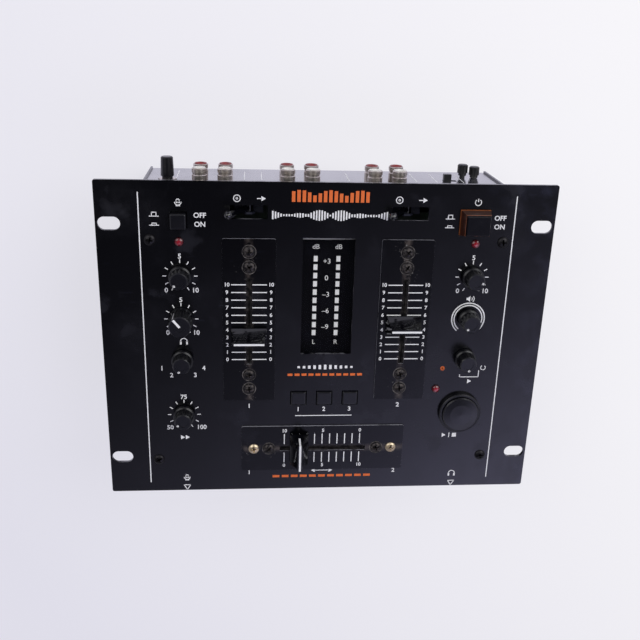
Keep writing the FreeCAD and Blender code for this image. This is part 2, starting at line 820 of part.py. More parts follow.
def potentiometer():
    """A square body on the board with a plain bushing up through the panel."""
    body = new_body("potentiometer")
    pad(body, rectangle(sketch(body, "XY_Plane", BOARD_TOP), "pot_width", "pot_depth"), "pot_height")
    neck = sketch(body, "XY_Plane", f"{BOARD_TOP} + pot_height")
    pad(body, circle(neck, "bushing_radius"), "board_drop - pot_height + bushing_rise")
    bore = circle(sketch(body, "XY_Plane", "bushing_rise"), "shaft_radius + run_gap")
    pocket(body, bore, "bushing_rise + board_drop - shaft_foot + run_gap")
    return body


def control_shaft(label):
    return turned(label, [
        ("0", f"{BOARD_TOP} + shaft_foot"), ("shaft_radius", f"{BOARD_TOP} + shaft_foot"),
        ("shaft_radius", "shaft_top - shaft_edge"), ("shaft_radius - shaft_edge", "shaft_top"),
        ("0", "shaft_top"),
    ])


def fluted_knob(label, tall):
    """A skirted knob with finger flutes, an inset top and a sunk pointer mark."""
    size = "tall_knob" if tall else "knob"
    bottom, top = "knob_lift", f"(knob_lift + {size}_height)"
    shoulder = f"(knob_lift + {size}_skirt)"
    bore = "(shaft_radius + run_gap)"
    hollow = "(bushing_radius + hole_gap)"
    cavity_top = "(bushing_rise + hole_gap)"
    profile = [
        (hollow, bottom), (f"{size}_radius", bottom), (f"{size}_radius", shoulder),
        (f"{size}_grip_radius", f"{shoulder} + knob_edge"), (f"{size}_top_radius", f"{top} - knob_edge"),
        (f"{size}_top_radius - knob_edge", top), ("knob_inset_radius", top),
        ("knob_inset_radius", f"{top} - knob_inset_depth"), ("0", f"{top} - knob_inset_depth"),
        ("0", "shaft_top + run_gap"), (bore, "shaft_top + run_gap"), (bore, f"{bottom} + {cavity_top}"),
        (hollow, f"{bottom} + {cavity_top}"),
    ]
    body = turned(label, profile)
    flute = circle(sketch(body, "XY_Plane", top), "flute_radius",
                   "0", f"{size}_top_radius + flute_radius - flute_depth")
    cut = pocket(body, flute, f"{size}_height - {size}_skirt - 2 * knob_edge")
    round_pattern(body, cut, f"{size}_flutes")
    mark = sketch(body, "XY_Plane", top)
    if tall:
        rectangle(mark, "line_width", f"{size}_top_radius", "0", f"{size}_top_radius / 2")
    else:
        circle(mark, "dot_radius", "0", "knob_inset_radius + dot_radius + knob_inset_depth")
    pocket(body, mark, "line_depth")
    return body


def rotary_controls():
    pot = potentiometer()
    trim = new_body("trim_potentiometer")
    block = sketch(trim, "XZ_Plane")
    pad(trim, rectangle(block, "trim_body", "trim_body"), "trim_body_depth")
    neck = sketch(trim, "XZ_Plane")
    pad(trim, circle(neck, "trim_bushing_radius"), "trim_bushing_length + sheet_thick", down=True)
    bore = sketch(trim, "XZ_Plane", "-trim_bushing_length - sheet_thick")
    well = pocket(trim, circle(bore, "trim_shaft_radius + run_gap"),
                  "trim_bushing_length + sheet_thick + trim_shaft_depth + hole_gap")
    well.Reversed = True
    copies = [(pot, x, y, "0") for x, y, _ in KNOBS.values()]
    compound("potentiometer_bodies", copies + [(trim, "trim_x", REAR_INNER, "-trim_drop")])
    for name, (x, y, pointer) in KNOBS.items():
        for body in (control_shaft(f"{name}_shaft"), fluted_knob(f"{name}_knob", name == TALL_KNOB)):
            place(body, x, y, "0", UP, -pointer)
            node(body)


def trim_knob():
    """The tapered rear trim knob, moulded in one with its shaft."""
    start = "(sheet_thick + trim_bushing_length + hole_gap)"
    shaft_end = "-trim_shaft_depth"
    body = turned("trim_knob", [
        ("0", shaft_end), ("trim_shaft_radius", shaft_end), ("trim_shaft_radius", start),
        ("trim_base_radius", start), ("trim_top_radius", f"{start} + trim_length - trim_edge"),
        ("trim_top_radius - trim_edge", f"{start} + trim_length"), ("0", f"{start} + trim_length"),
    ], "XY_Plane")
    place(body, "trim_x", REAR_INNER, "-trim_drop")
    node(body)


# Buttons and their switches

def push_switch():
    body = new_body("push_switch")
    height = "(board_drop - switch_top_drop)"
    pad(body, rectangle(sketch(body, "XY_Plane", BOARD_TOP), "switch_size", "switch_size"), height)
    well = rectangle(sketch(body, "XY_Plane", f"{BOARD_TOP} + {height}"),
                     "stem_size + 4 * run_gap", "stem_size + 4 * run_gap")
    pocket(body, well, f"{height} - switch_floor")
    return body


def add_stem(body):
    """The square stem that reaches down from a button into its switch."""
    low = "(-panel_thick - button_skirt)"
    stem = sketch(body, "XY_Plane", low)
    rectangle(stem, "stem_size", "stem_size")
    pad(body, stem, "stem_length", down=True)


def square_button(label, width, depth, height):
    body = new_body(label)
    low = "(-panel_thick - button_skirt)"
    pad(body, rectangle(sketch(body, "XY_Plane", low), width, depth), f"{height} - {low} - knob_edge")
    crown = sketch(body, "XY_Plane", f"{height} - knob_edge")
    top = sketch(body, "XY_Plane", height)
    rectangle(crown, width, depth)
    rectangle(top, f"{width} - 2 * knob_edge", f"{depth} - 2 * knob_edge")
    loft = body.newObject("PartDesign::AdditiveLoft", f"{label}_crown")
    loft.Profile = crown
    loft.Sections = [top]
    loft.Ruled = True
    add_stem(body)
    return body


def power_button():
    """A tapered block whose coloured sides show under a dark cap."""
    body = new_body("power_button")
    low = "(-panel_thick - button_skirt)"
    pad(body, rectangle(sketch(body, "XY_Plane", low), "power_width", "power_depth"), f"-{low}")
    foot = rectangle(sketch(body), "power_width", "power_depth")
    top = rectangle(sketch(body, "XY_Plane", "power_height"), "power_top_width", "power_top_depth")
    loft = body.newObject("PartDesign::AdditiveLoft", "power_button_sides")
    loft.Profile = foot
    loft.Sections = [top]
    loft.Ruled = True
    add_stem(body)
    cap = new_body("power_button_cap")
    lower = rectangle(sketch(cap, "XY_Plane", "power_height"), "power_top_width", "power_top_depth")
    upper = rectangle(sketch(cap, "XY_Plane", "power_height + power_cap_thick"),
                      "power_top_width - 2 * power_cap_inset", "power_top_depth - 2 * power_cap_inset")
    crown = cap.newObject("PartDesign::AdditiveLoft", "power_button_cap_crown")
    crown.Profile = lower
    crown.Sections = [upper]
    crown.Ruled = True
    return body, cap


def start_button():
    body = turned("start_button", [
        ("0", "-panel_thick - button_skirt"), ("start_radius", "-panel_thick - button_skirt"),
        ("start_radius", "start_height - knob_edge"), ("start_radius - knob_edge", "start_height"),
        ("0.6 * start_radius", "start_height + 0.64 * start_crown"), ("0", "start_height + start_crown"),
    ])
    add_stem(body)
    return body


def start_bezel():
    inner = "(start_radius + hole_gap)"
    sleeve = f"({inner} + bezel_sleeve)"
    bezel = turned("start_button_bezel", [
        (inner, "-bezel_depth"), (sleeve, "-bezel_depth"), (sleeve, "0"), ("bezel_radius", "0"),
        ("bezel_radius", "bezel_height - knob_edge"), ("bezel_radius - knob_edge", "bezel_height"),
        (inner, "bezel_height"),
    ])
    place(bezel, *BUTTONS["start"], "0")
    node(bezel)


def buttons():
    power, cap = power_button()
    made = {
        "talkover": [square_button("talkover_button", "talkover_size", "talkover_size", "talkover_height")],
        "power": [power, cap],
        "start": [start_button()],
    }
    for name in ("assign_1", "assign_2", "assign_3"):
        made[name] = [square_button(f"{name}_button", "assign_width", "assign_depth", "assign_height")]
    for name, pieces in made.items():
        for piece in pieces:
            place(piece, *BUTTONS[name], "0")
            node(piece)
    start_bezel()


# Toggles

def toggle_body():
    """A switch block with two cheeks that hold the lever's pivot pin."""
    body = new_body("toggle_body")
    inner = "(toggle_hub_width + 2 * hole_gap)"
    outer = f"({inner} + 2 * toggle_cheek)"
    deck = "(board_drop - toggle_pivot_drop - toggle_hub_radius - hole_gap)"
    pad(body, rectangle(sketch(body, "XY_Plane", BOARD_TOP), "toggle_body_length", outer), deck)
    for side in (-1, 1):
        cheek = sketch(body, "XZ_Plane", f"{side} * ({inner} + toggle_cheek) / 2")
        half, top = "toggle_cheek_length / 2", "(-toggle_pivot_drop + toggle_hub_radius)"
        polygon(cheek, [(f"-{half}", f"{BOARD_TOP} + {deck}"), (half, f"{BOARD_TOP} + {deck}"),
                        (half, "-toggle_pivot_drop"), (f"0.5 * {half}", top),
                        (f"-0.5 * {half}", top), (f"-{half}", "-toggle_pivot_drop")])
        pad(body, cheek, "toggle_cheek", both_ways=True)
    pin = circle(sketch(body, "XZ_Plane"), "toggle_pin_radius + run_gap", "0", "-toggle_pivot_drop")
    pocket(body, pin, f"2 * {outer}", both_ways=True)
    return body


def toggle_lever(label):
    """A bat lever on a hub with a pivot pin, drawn upright about its pivot."""
    body = turned(label, [
        ("0", "0"), ("toggle_neck_radius", "0"), ("toggle_neck_radius", "toggle_neck_length"),
        ("toggle_tip_radius", "toggle_reach"),
        ("0.87 * toggle_tip_radius", "toggle_reach + 0.5 * toggle_tip_radius"),
        ("0.5 * toggle_tip_radius", "toggle_reach + 0.87 * toggle_tip_radius"),
        ("0", "toggle_reach + toggle_tip_radius"),
    ])
    hub = circle(sketch(body, "XZ_Plane"), "toggle_hub_radius")
    pad(body, hub, "toggle_hub_width", both_ways=True)
    pin = circle(sketch(body, "XZ_Plane"), "toggle_pin_radius")
    pad(body, pin, "toggle_hub_width + 2 * hole_gap + 2 * toggle_cheek", both_ways=True)
    return body


def slide_switch():
    """The rear slide switch's body, behind its slot in the wall."""
    body = new_body("slide_switch")
    block = rectangle(sketch(body, "XZ_Plane"), "slide_body_width", "slide_body_height")
    pad(body, block, "slide_body_depth")
    run = rectangle(sketch(body, "XZ_Plane"), *SLIDE_RUN)
    well = pocket(body, run, "slide_lever_root + button_gap")
    well.Reversed = True
    return body


def slide_lever():
    body = new_body("rear_switch_lever")
    root = sketch(body, "XZ_Plane", "slide_lever_root")
    rectangle(root, "slide_lever_width", "slide_lever_height")
    pad(body, root, "slide_lever_root + sheet_thick + slide_lever_length", down=True)
    place(body, "slide_x - slide_travel / 2", REAR_INNER, "-slide_drop")
    node(body)


def switches():
    push, toggle, slide = push_switch(), toggle_body(), slide_switch()
    copies = [(push, x, y, "0") for x, y in BUTTONS.values()]
    copies += [(toggle, x, y, "0") for x, y in TOGGLES.values()]
    compound("switch_bodies", copies + [(slide, "slide_x", REAR_INNER, "-slide_drop")])
    for name, (x, y) in TOGGLES.items():
        lever = toggle_lever(f"{name}_lever")
        place(lever, x, y, "-toggle_pivot_drop", (0, -1, 0), measure("toggle_tilt"))
        bind(lever, "Placement.Rotation.Angle", "toggle_tilt")
        node(lever)
    slide_lever()


# Meter and lights

def meter():
    window = new_body("meter_window")
    pane = sketch(window, "XY_Plane", "-panel_thick")
    rectangle(pane, "meter_width + 2 * meter_lap", "meter_depth + 2 * meter_lap")
    pad(window, pane, "window_thick", down=True)
    place(window, "0", "meter_y", "0")
    node(window)

    span = "((segment_count - 1) * segment_pitch)"
    holder = new_body("meter_led_holder")
    block = sketch(holder, "XY_Plane", BOARD_TOP)
    rectangle(block, "meter_width + 2 * holder_side_lap", "meter_depth + 2 * holder_end_lap", "0", "meter_y")
    pad(holder, block, "board_drop - holder_drop")
    wells = sketch(holder, "XY_Plane", "-holder_drop")
    bars = new_body("meter_led_segments")
    base = sketch(bars, "XY_Plane", BOARD_TOP)
    for side in (-1, 1):
        rectangle(wells, "segment_width + 2 * run_gap", "segment_length + 2 * run_gap",
                  f"{side} * segment_x", "segment_first_y")
        rectangle(base, "segment_width", "segment_length", f"{side} * segment_x", "segment_first_y")
    cut = pocket(holder, wells, "board_drop - holder_drop")
    row_pattern(holder, cut, "Y_Axis", span, "segment_count")
    rise = pad(bars, base, "board_drop - segment_drop")
    row_pattern(bars, rise, "Y_Axis", span, "segment_count")
    node(holder)
    node(bars)


def status_leds():
    """Domed lights whose flanges bear on the panel's underside, on spacers down to the board."""
    flange = "(led_radius + led_flange)"
    under = "(-panel_thick)"
    light = turned("status_led", [
        ("0", BOARD_TOP), (flange, BOARD_TOP), (flange, under), ("led_radius", under),
        ("led_radius", "led_rim"), ("0.85 * led_radius", "led_rim + 0.5 * led_dome"),
        ("0.5 * led_radius", "led_rim + 0.85 * led_dome"), ("0", "led_rim + led_dome"),
    ])
    compound("status_leds", [(light, x, y, "0") for x, y in LIGHTS])


# Boards

def boards():
    control = new_body("control_board")
    pad(control, rectangle(sketch(control, "XY_Plane", BOARD_TOP), "board_width", "board_depth"),
        "board_thick", down=True)
    notch = sketch(control, "XY_Plane", BOARD_TOP)
    rectangle(notch, "2 * (inlet_barrel_radius + inlet_notch_gap)",
              "2 * (board_depth / 2 - inlet_notch_front)", "inlet_x", "board_depth / 2")
    pocket(control, notch, "board_thick")
    node(control)
    pillar = new_body("standoff")
    pad(pillar, circle(sketch(pillar, "XY_Plane", BOARD_TOP), "standoff_radius"), "board_drop - panel_thick")
    rows = ("standoff_y", "standoff_middle_y", "-standoff_y")
    compound("board_standoffs", [(pillar, f"{side} * standoff_x", y, "0") for side in (-1, 1) for y in rows])
    main = new_body("main_board")
    top = "(-phono_drop - phono_pitch - block_margin)"
    deck = sketch(main, "XY_Plane", top)
    rectangle(deck, "main_board_width", "main_board_depth", "main_board_x",
              f"{REAR_INNER} - hole_gap - main_board_depth / 2")
    pad(main, deck, "board_thick", down=True)
    node(main)


# Rear connectors, drawn along +Y from the wall's inner face

def phono_blocks():
    body = new_body("phono_block")
    middle = "(-phono_drop - phono_pitch / 2)"
    face = rectangle(sketch(body, "XZ_Plane"), "block_width", "phono_pitch + 2 * block_margin", "0", middle)
    pad(body, face, "block_depth")
    hole = circle(sketch(body, "XZ_Plane"), "screw_radius + screw_hole_gap", "0", middle)
    bite = pocket(body, hole, "screw_length")
    bite.Reversed = True
    compound("phono_blocks", [(body, x, REAR_INNER, "0") for x in BLOCKS])


def phono_sockets():
    end = "(sheet_thick + phono_length)"
    groove = "(sheet_thick + phono_groove_place)"
    groove_end = f"({groove} + phono_groove_width)"
    inner = "(phono_radius - phono_groove_depth)"
    shell = turned("phono_shell", [
        ("phono_bore", "0"), ("phono_radius", "0"), ("phono_radius", groove),
        (inner, f"{groove} + phono_edge"), (inner, f"{groove_end} - phono_edge"),
        ("phono_radius", groove_end),
        ("phono_radius", f"{end} - phono_edge"), ("phono_radius - phono_edge", end), ("phono_bore", end),
    ], "XY_Plane")
    insert = turned("phono_insert", [
        ("phono_pin_hole", "0"), ("phono_bore - run_gap", "0"),
        ("phono_bore - run_gap", f"{end} + phono_insert_rise"),
        ("phono_pin_hole + phono_insert_flare", f"{end} + phono_insert_rise"),
        ("phono_pin_hole", f"{end} - phono_insert_flare"),
    ], "XY_Plane")
    upper, lower = "-phono_drop", "-phono_drop - phono_pitch"
    spots = {row: [(f"{block} + {across} * phono_pitch", REAR_INNER, row)
                   for block in BLOCKS for across in (-0.5, 0.5)] for row in (upper, lower)}
    compound("phono_shells", [(shell, *spot) for row in spots.values() for spot in row])
    compound("phono_inserts_white", [(insert, *spot) for spot in spots[upper]])
    compound("phono_inserts_red", [(insert, *spot) for spot in spots[lower]])


def power_inlet():
    wall, mouth = "sheet_thick", "(sheet_thick + inlet_flange_thick)"
    barrel = turned("inlet_barrel", [
        ("0", f"{wall} - inlet_length"), ("inlet_barrel_radius", f"{wall} - inlet_length"),
        ("inlet_barrel_radius", wall), ("inlet_flange_radius", wall),
        ("inlet_flange_radius", mouth), ("inlet_bore", mouth), ("inlet_bore", f"{mouth} - inlet_bore_depth"),
        ("inlet_pin_radius", f"{mouth} - inlet_bore_depth"),
        ("inlet_pin_radius", wall), ("0", wall),
    ], "XY_Plane")
    nut = hex_nut("inlet_nut", "inlet_nut_flats", "inlet_barrel_radius")
    compound("power_inlet", [(barrel, "inlet_x", REAR_INNER, "-inlet_drop"),
                             (nut, "inlet_x", f"{REAR_INNER} - nut_thick", "-inlet_drop")])


def hex_nut(label, flats, thread):
    """A plain nut from y = 0 to its thickness along +Y."""
    body = new_body(label)
    face = hexagon(sketch(body, "XZ_Plane"), flats)
    circle(face, f"{thread} + run_gap")
    pad(body, face, "nut_thick", down=True)
    return body


def ground_screw(label, x, out):
    """A knurled thumb screw in a tapped hole of the rear wall."""
    face = f"(sheet_thick + {out})"
    knurl = f"({face} + ground_collar_length)"
    body = turned(label, [
        ("0", f"{face} - ground_thread_length"), ("ground_thread_radius", f"{face} - ground_thread_length"),
        ("ground_thread_radius", face), ("ground_collar_radius", face), ("ground_collar_radius", knurl),
        ("ground_head_radius", knurl), ("ground_head_radius", f"{knurl} + ground_head_length - knob_edge"),
        ("ground_head_radius - knob_edge", f"{knurl} + ground_head_length"),
        ("0", f"{knurl} + ground_head_length"),
    ], "XY_Plane")
    groove = circle(sketch(body, "XZ_Plane", f"-({knurl} + ground_head_length)"), "ground_knurl",
                    "0", "ground_head_radius")
    cut = pocket(body, groove, "ground_head_length")
    cut.Reversed = True
    round_pattern(body, cut, "ground_flutes", "Y_Axis")
    place(body, x, REAR_INNER, "-ground_drop")
    node(body)


# Front sockets, drawn along -Y from the wall's inner face

def phone_sockets():
    body = new_body("phone_socket")
    case = rectangle(sketch(body, "XZ_Plane"), "socket_body_width", "socket_body_width")
    pad(body, case, "socket_body_length", down=True)
    neck = circle(sketch(body, "XZ_Plane"), "socket_bushing_radius")
    mouth = "(sheet_thick + socket_bushing_length)"
    pad(body, neck, mouth)
    bore = circle(sketch(body, "XZ_Plane", mouth), "socket_bore")
    pocket(body, bore, "socket_bore_length")
    front_inner = f"-{REAR_INNER}"
    spots = [(f"{side} * socket_x", front_inner, "-socket_drop") for side in (-1, 1)]
    compound("phone_sockets", [(body, *spot) for spot in spots])


def socket_nuts():
    large = hex_nut("socket_nut", "socket_nut_flats", "socket_bushing_radius")
    small = hex_nut("trim_nut", "trim_nut_flats", "trim_bushing_radius")
    front = f"-{REAR_FACE} - nut_thick"
    copies = [(large, f"{side} * socket_x", front, "-socket_drop") for side in (-1, 1)]
    compound("socket_nuts", copies + [(small, "trim_x", REAR_FACE, "-trim_drop")])


front_panel()
case_tray()
side_panels()
rubber_feet()
screws()
faders()
rotary_controls()
trim_knob()
buttons()
switches()
meter()
status_leds()
boards()
phono_blocks()
phono_sockets()
power_inlet()
ground_screw("ground_screw_1", "ground_x_one", "ground_out_one")
ground_screw("ground_screw_2", "ground_x_two", "ground_out_two")
phone_sockets()
socket_nuts()
doc.recompute()


# Nothing is written unless every object is sound and every cut removed material

def check(item):
    if "Invalid" in item.State or "Error" in item.State:
        raise RuntimeError(f"{item.Label} failed: {item.State}")
    if item.isDerivedFrom("PartDesign::Pocket") and item.BaseFeature:
        if item.Shape.Volume >= item.BaseFeature.Shape.Volume - 1e-6:
            raise RuntimeError(f"{item.Label} cut nothing")


for item in doc.Objects:
    check(item)
for item in nodes:
    if item.Shape.isNull() or not item.Shape.isValid() or not item.Shape.Solids:
        raise RuntimeError(f"{item.Label} has no sound solid")

os.makedirs("parts", exist_ok=True)
for item in nodes:
    item.Shape.exportStep(os.path.join("parts", f"{item.Label}.step"))
print(f"{len(nodes)} sub-parts, {sum(len(item.Shape.Solids) for item in nodes)} solids")
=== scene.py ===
import json
import math
import random

import bmesh
import bpy
from mathutils import Matrix, Vector


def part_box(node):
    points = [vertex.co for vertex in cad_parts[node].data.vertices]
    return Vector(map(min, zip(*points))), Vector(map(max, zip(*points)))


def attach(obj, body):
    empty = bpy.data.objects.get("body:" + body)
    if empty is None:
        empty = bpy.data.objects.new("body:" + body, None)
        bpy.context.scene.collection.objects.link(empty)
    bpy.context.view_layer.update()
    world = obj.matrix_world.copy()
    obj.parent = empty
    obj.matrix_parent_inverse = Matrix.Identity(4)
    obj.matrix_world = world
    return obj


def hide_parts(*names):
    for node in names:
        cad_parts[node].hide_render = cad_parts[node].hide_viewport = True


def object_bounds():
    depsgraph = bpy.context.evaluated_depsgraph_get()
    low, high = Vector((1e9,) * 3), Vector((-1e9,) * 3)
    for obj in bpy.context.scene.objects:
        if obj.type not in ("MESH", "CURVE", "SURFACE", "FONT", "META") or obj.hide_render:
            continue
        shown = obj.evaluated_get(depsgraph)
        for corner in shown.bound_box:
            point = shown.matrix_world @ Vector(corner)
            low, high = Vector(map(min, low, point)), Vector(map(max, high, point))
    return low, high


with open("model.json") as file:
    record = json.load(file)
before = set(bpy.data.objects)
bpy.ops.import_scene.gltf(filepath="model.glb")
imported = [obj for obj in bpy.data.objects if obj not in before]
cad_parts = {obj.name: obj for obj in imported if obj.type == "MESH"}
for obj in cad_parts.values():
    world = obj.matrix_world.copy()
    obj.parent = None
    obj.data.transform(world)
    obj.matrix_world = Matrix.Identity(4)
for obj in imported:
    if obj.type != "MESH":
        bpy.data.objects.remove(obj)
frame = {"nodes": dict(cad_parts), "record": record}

# A two-channel mixer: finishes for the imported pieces, printed scales and signs, screw heads, marks on caps
# and knobs, felt lips in the fader slots, a camera that stands where the photograph's did, floor and light.

CAD_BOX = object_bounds()
MM = 0.001

# Ink and lettering. Sizes are in millimetres, and places are from the middle of the panel's top.
INK_THICK, INK_PROUD = 0.04, 0.015
LETTER, SMALL_LETTER, METER_LETTER = 3.9, 3.1, 4.3
BOLD, PLAIN = 0.022, 0.0
STROKE, SCALE_STROKE, LATCH_STROKE, BORDER_STROKE = 0.5, 0.58, 0.45, 0.6

# Dials
KNOB_COLUMN = 82.5
KNOB_ROWS = {"mic": 42.0, "cue": 16.6, "assign": -8.3, "speed": -43.6}
DIAL_SWEEP, DIAL_TICKS = 150.0, 11
TICK_INNER, TICK_OUTER, TICK_WIDTH = 7.6, 9.6, 0.55
TENTHS = {"5": (0.0, 11.3), "10": (8.2, -8.4), "0": (-7.8, -8.4)}
PERCENTS = {"75": (0.0, 11.3), "100": (10.0, -8.6), "50": (-8.4, -8.6)}
CHOICES = {"1": (-12.0, -5.6), "2": (-6.6, -10.0), "3": (7.0, -10.0), "4": (12.0, -5.6)}
LEVEL_RINGS, LEVEL_RING_WIDTH, LEVEL_RING_SWEEP = (9.6, 8.2), 0.7, 140.0
MODE_BRACKET = ((3.9, -12.2, 11.6, STROKE), (9.6, -10.2, STROKE, 4.5), (-1.8, -11.5, STROKE, 1.9))
MODE_DOT, MODE_ARROW, MODE_LOOP = (-12.5, -6.5), (4.0, -15.0), (12.0, -6.2)
LOUDSPEAKER_DROP, HEADPHONES_X, HEADPHONES_DROP = 13.2, 1.0, 13.6
SPEED_ARROW_XS, SPEED_ARROW_DROP = (-1.6, 1.2), 15.2

# Print round the buttons
LATCH_WORDS, LATCH_WORD_XS = {"OFF": 76.3, "ON": 71.3}, (-71.0, 95.4)
LATCH_SIGNS, LATCH_SIGN_XS = ((76.0, 1.9), (71.0, 0.9)), (-95.5, 67.0)
ASSIGN_XS, ASSIGN_NUMBER_Y = (-15.3, 0.0, 15.3), -41.0
ASSIGN_LINE, ASSIGN_LINE_Y = 34.0, -45.2
TALKOVER_SIGN, POWER_SIGN, START_SIGNS = (-82.5, 83.6), (82.0, 85.2), (74.0, -59.4)

# Print round the faders
CHANNELS = (-44.4, 44.4)
CHANNEL_ZERO, CHANNEL_TEN = -8.1, 37.3
CHANNEL_LINE, CHANNEL_LINE_X, CHANNEL_NUMBER_X = 8.2, 5.9, 12.4
CHANNEL_NAME_YS = (-38.5, -83.6)
SOURCE_X, SOURCE_Y = 6.5, 86.0
CROSS_ROW, CROSS_ENDS = -66.7, (-23.3, 22.3)
CROSS_LINE, CROSS_LINE_Y, CROSS_NUMBER_Y = 6.8, 6.3, 11.8
CROSS_ARROW, CROSS_ARROW_X, CROSS_ARROW_Y = 9.0, 5.0, -82.8
SCALE_STEPS = 10
PLATE_TOP = 1.0

# Meter
METER_COLUMNS = (-6.5, 6.5)
METER_FIRST, METER_PITCH = 4.2, 5.03
METER_STEPS, METER_STEP_RISE = ("\u20139", "\u20136", "\u20133", "0", "+3"), 0.67
METER_HEAD_Y, METER_FOOT_Y, METER_FACE = 56.4, -1.9, -10.3
BAR_HALF_WIDTH, BAR_HALF_LENGTH = 1.12, 1.65
GLINT_Y, GLINT_BLUR, GLINT_FADE = 62.95, 0.1, 16.0

# Level bars, a sound wave and dashes, with the pitch of their strokes
LEVEL_BARS_Y, LEVEL_BAR_PITCH, LEVEL_BAR = 84.4, 2.9, 1.9
WAVE_Y, WAVE_PITCH, WAVE_STROKE = 77.0, 1.5, 0.85
METER_DASH_Y, METER_DASH_PITCH, METER_DASH = -18.4, 4.1, (2.9, 1.5)
FRONT_DASH_Y, FRONT_DASH_PITCH, FRONT_DASH = -86.6, 5.6, (4.2, 1.6)
STEP_BARS_Y, STEP_BAR_PITCH, STEP_BAR = -13.6, 3.1, 1.5

# Borders, front marks and the rear wall
BORDER_X, BORDER_LOW, BORDER_HIGH = 103.7, -89.4, 88.9
FRONT_LEFT, FRONT_RIGHT = -82.0, 81.5
FRONT_SIGN_Y, FRONT_POINTER_Y = -86.2, -93.2
REAR_WALL_Y = 89.25
DIVIDER_XS = (-86.0, -47.0, -37.0, 14.0, 54.0, 66.0, 82.0)
DIVIDER, DIVIDER_Z, GROUP_NUMBER_Z = 25.0, -47.5, -44.0

# Screws
SCREW_RADIUS, SCREW_HEIGHT = 3.3, 1.5
RECESS_LENGTH, RECESS_WIDTH, RECESS_DEPTH = 3.8, 0.95, 1.1
PANEL_SCREW_X, PANEL_SCREW_YS = 98.3, (62.5, -73.6)
PLATE_CENTRE_Y = 14.8
PLATE_OUTER_SCREW, PLATE_INNER_SCREW = 41.6, 32.6
SIDE_X, SIDE_SCREW_Y, SIDE_SCREW_ZS = 103.8, 82.25, (-20.0, -50.0)
PHONO_BLOCKS, PHONO_SCREW_Z = (-64.6, -15.9, 33.0), -23.0
FOOT_X, FOOT_Y, FOOT_SCREW_Z = 83.0, 70.0, -71.0
RING_RADIUS, RING_WIDTH = 3.8, 0.5
SPIN_SEED = 5

# Fader slots, caps and knob pointers
SLOT_HALF_LENGTH, SLOT_HALF_WIDTH = 25.9, 1.58
LIP_INNER, LIP_FRAY, LIP_STEPS, LIP_SEED = 0.14, 0.20, 150, 11
LIP_LOW, LIP_HIGH = 0.35, 0.6
CAP_RIDGE, CAP_LINE = 17.0, 1.15
CAP_END, CAP_LINE_LOW = 1.7, 4.5
POINTERS = {"mic_level": -135.0, "cue_assign": -157.0, "sampling_speed": -125.0, "master_level": 100.0,
            "sampler_level": -140.0, "mode": 170.0, "cue_level": -39.0}
DOT_PLACE, DOT_RADIUS = 3.72, 0.70
LINE_WIDTH, LINE_LENGTH = 1.3, 5.6
SIDE_LINE_RADIUS, SIDE_LINE_WIDTH, SIDE_LINE_TOP, SIDE_LINE_LOW = 6.02, 0.7, 13.3, 3.4

# Edges
WELD_REACH = 0.001
SHARP_ANGLE = math.radians(40)

# Camera as the photograph was taken, and light. Lights have a name, a place in metres, a size and a power.
CAMERA_PLACE = Vector((-44.31, 183.11, 443.60)) * MM
CAMERA_AIM = Vector((-3.89, 15.88, 0.0)) * MM
CAMERA_ROLL = math.radians(1.796)
CAMERA_LENS, CAMERA_SENSOR = 46.68, 36.0
LIGHTS = (("key_light", (0.95, 0.85, 1.25), 1.5, 19.0),
          ("fill_light", (-0.95, 0.75, 1.35), 1.6, 12.0))
FLOOR_HALF = 4.0
FLOOR_SEEN, FLOOR_MIRRORED = 0.76, 0.95


# Nodes and shader arithmetic

class Wire:
    """A socket that takes part in Python arithmetic."""

    def __init__(self, nodes, socket):
        self.nodes, self.socket = nodes, socket

    def math(self, operation, *values):
        node = self.nodes.add("ShaderNodeMath", {"operation": operation}, dict(enumerate(values)))
        return Wire(self.nodes, node.outputs[0])

    def __add__(self, other):
        return self.math("ADD", self, other)

    def __sub__(self, other):
        return self.math("SUBTRACT", self, other)

    def __rsub__(self, other):
        return self.math("SUBTRACT", other, self)

    def __mul__(self, other):
        return self.math("MULTIPLY", self, other)

    def __gt__(self, other):
        return self.math("GREATER_THAN", self, other)

    def __lt__(self, other):
        return self.math("LESS_THAN", self, other)

    def __abs__(self):
        return self.math("ABSOLUTE", self)

    def at_least(self, other):
        return self.math("MAXIMUM", self, other)

    __radd__ = __add__
    __rmul__ = __mul__

    def ramp(self, low, high):
        """0 below low, 1 above high, straight between them."""
        node = self.nodes.add("ShaderNodeMapRange", {"clamp": True}, {
            0: self, 1: low, 2: high, 3: 0.0, 4: 1.0})
        return Wire(self.nodes, node.outputs[0])


class Nodes:
    """Adds nodes to a tree; a socket takes a plain value or a link."""

    def __init__(self, tree):
        self.tree = tree

    def add(self, kind, settings=None, sockets=None):
        node = self.tree.nodes.new(kind)
        for name, value in (settings or {}).items():
            setattr(node, name, value)
        for name, value in (sockets or {}).items():
            for one in value if isinstance(value, list) else [value]:
                source = one.socket if isinstance(one, Wire) else one
                if isinstance(source, bpy.types.NodeSocket):
                    self.tree.links.new(source, node.inputs[name])
                else:
                    node.inputs[name].default_value = source
        return node

    def split(self, vector):
        """The three parts of a vector."""
        parts = self.add("ShaderNodeSeparateXYZ", None, {0: vector})
        return [Wire(self, socket) for socket in parts.outputs]

    def mix(self, factor, below, above):
        node = self.add("ShaderNodeMix", {"data_type": "RGBA"}, {0: factor, 6: below, 7: above})
        return node.outputs[2]


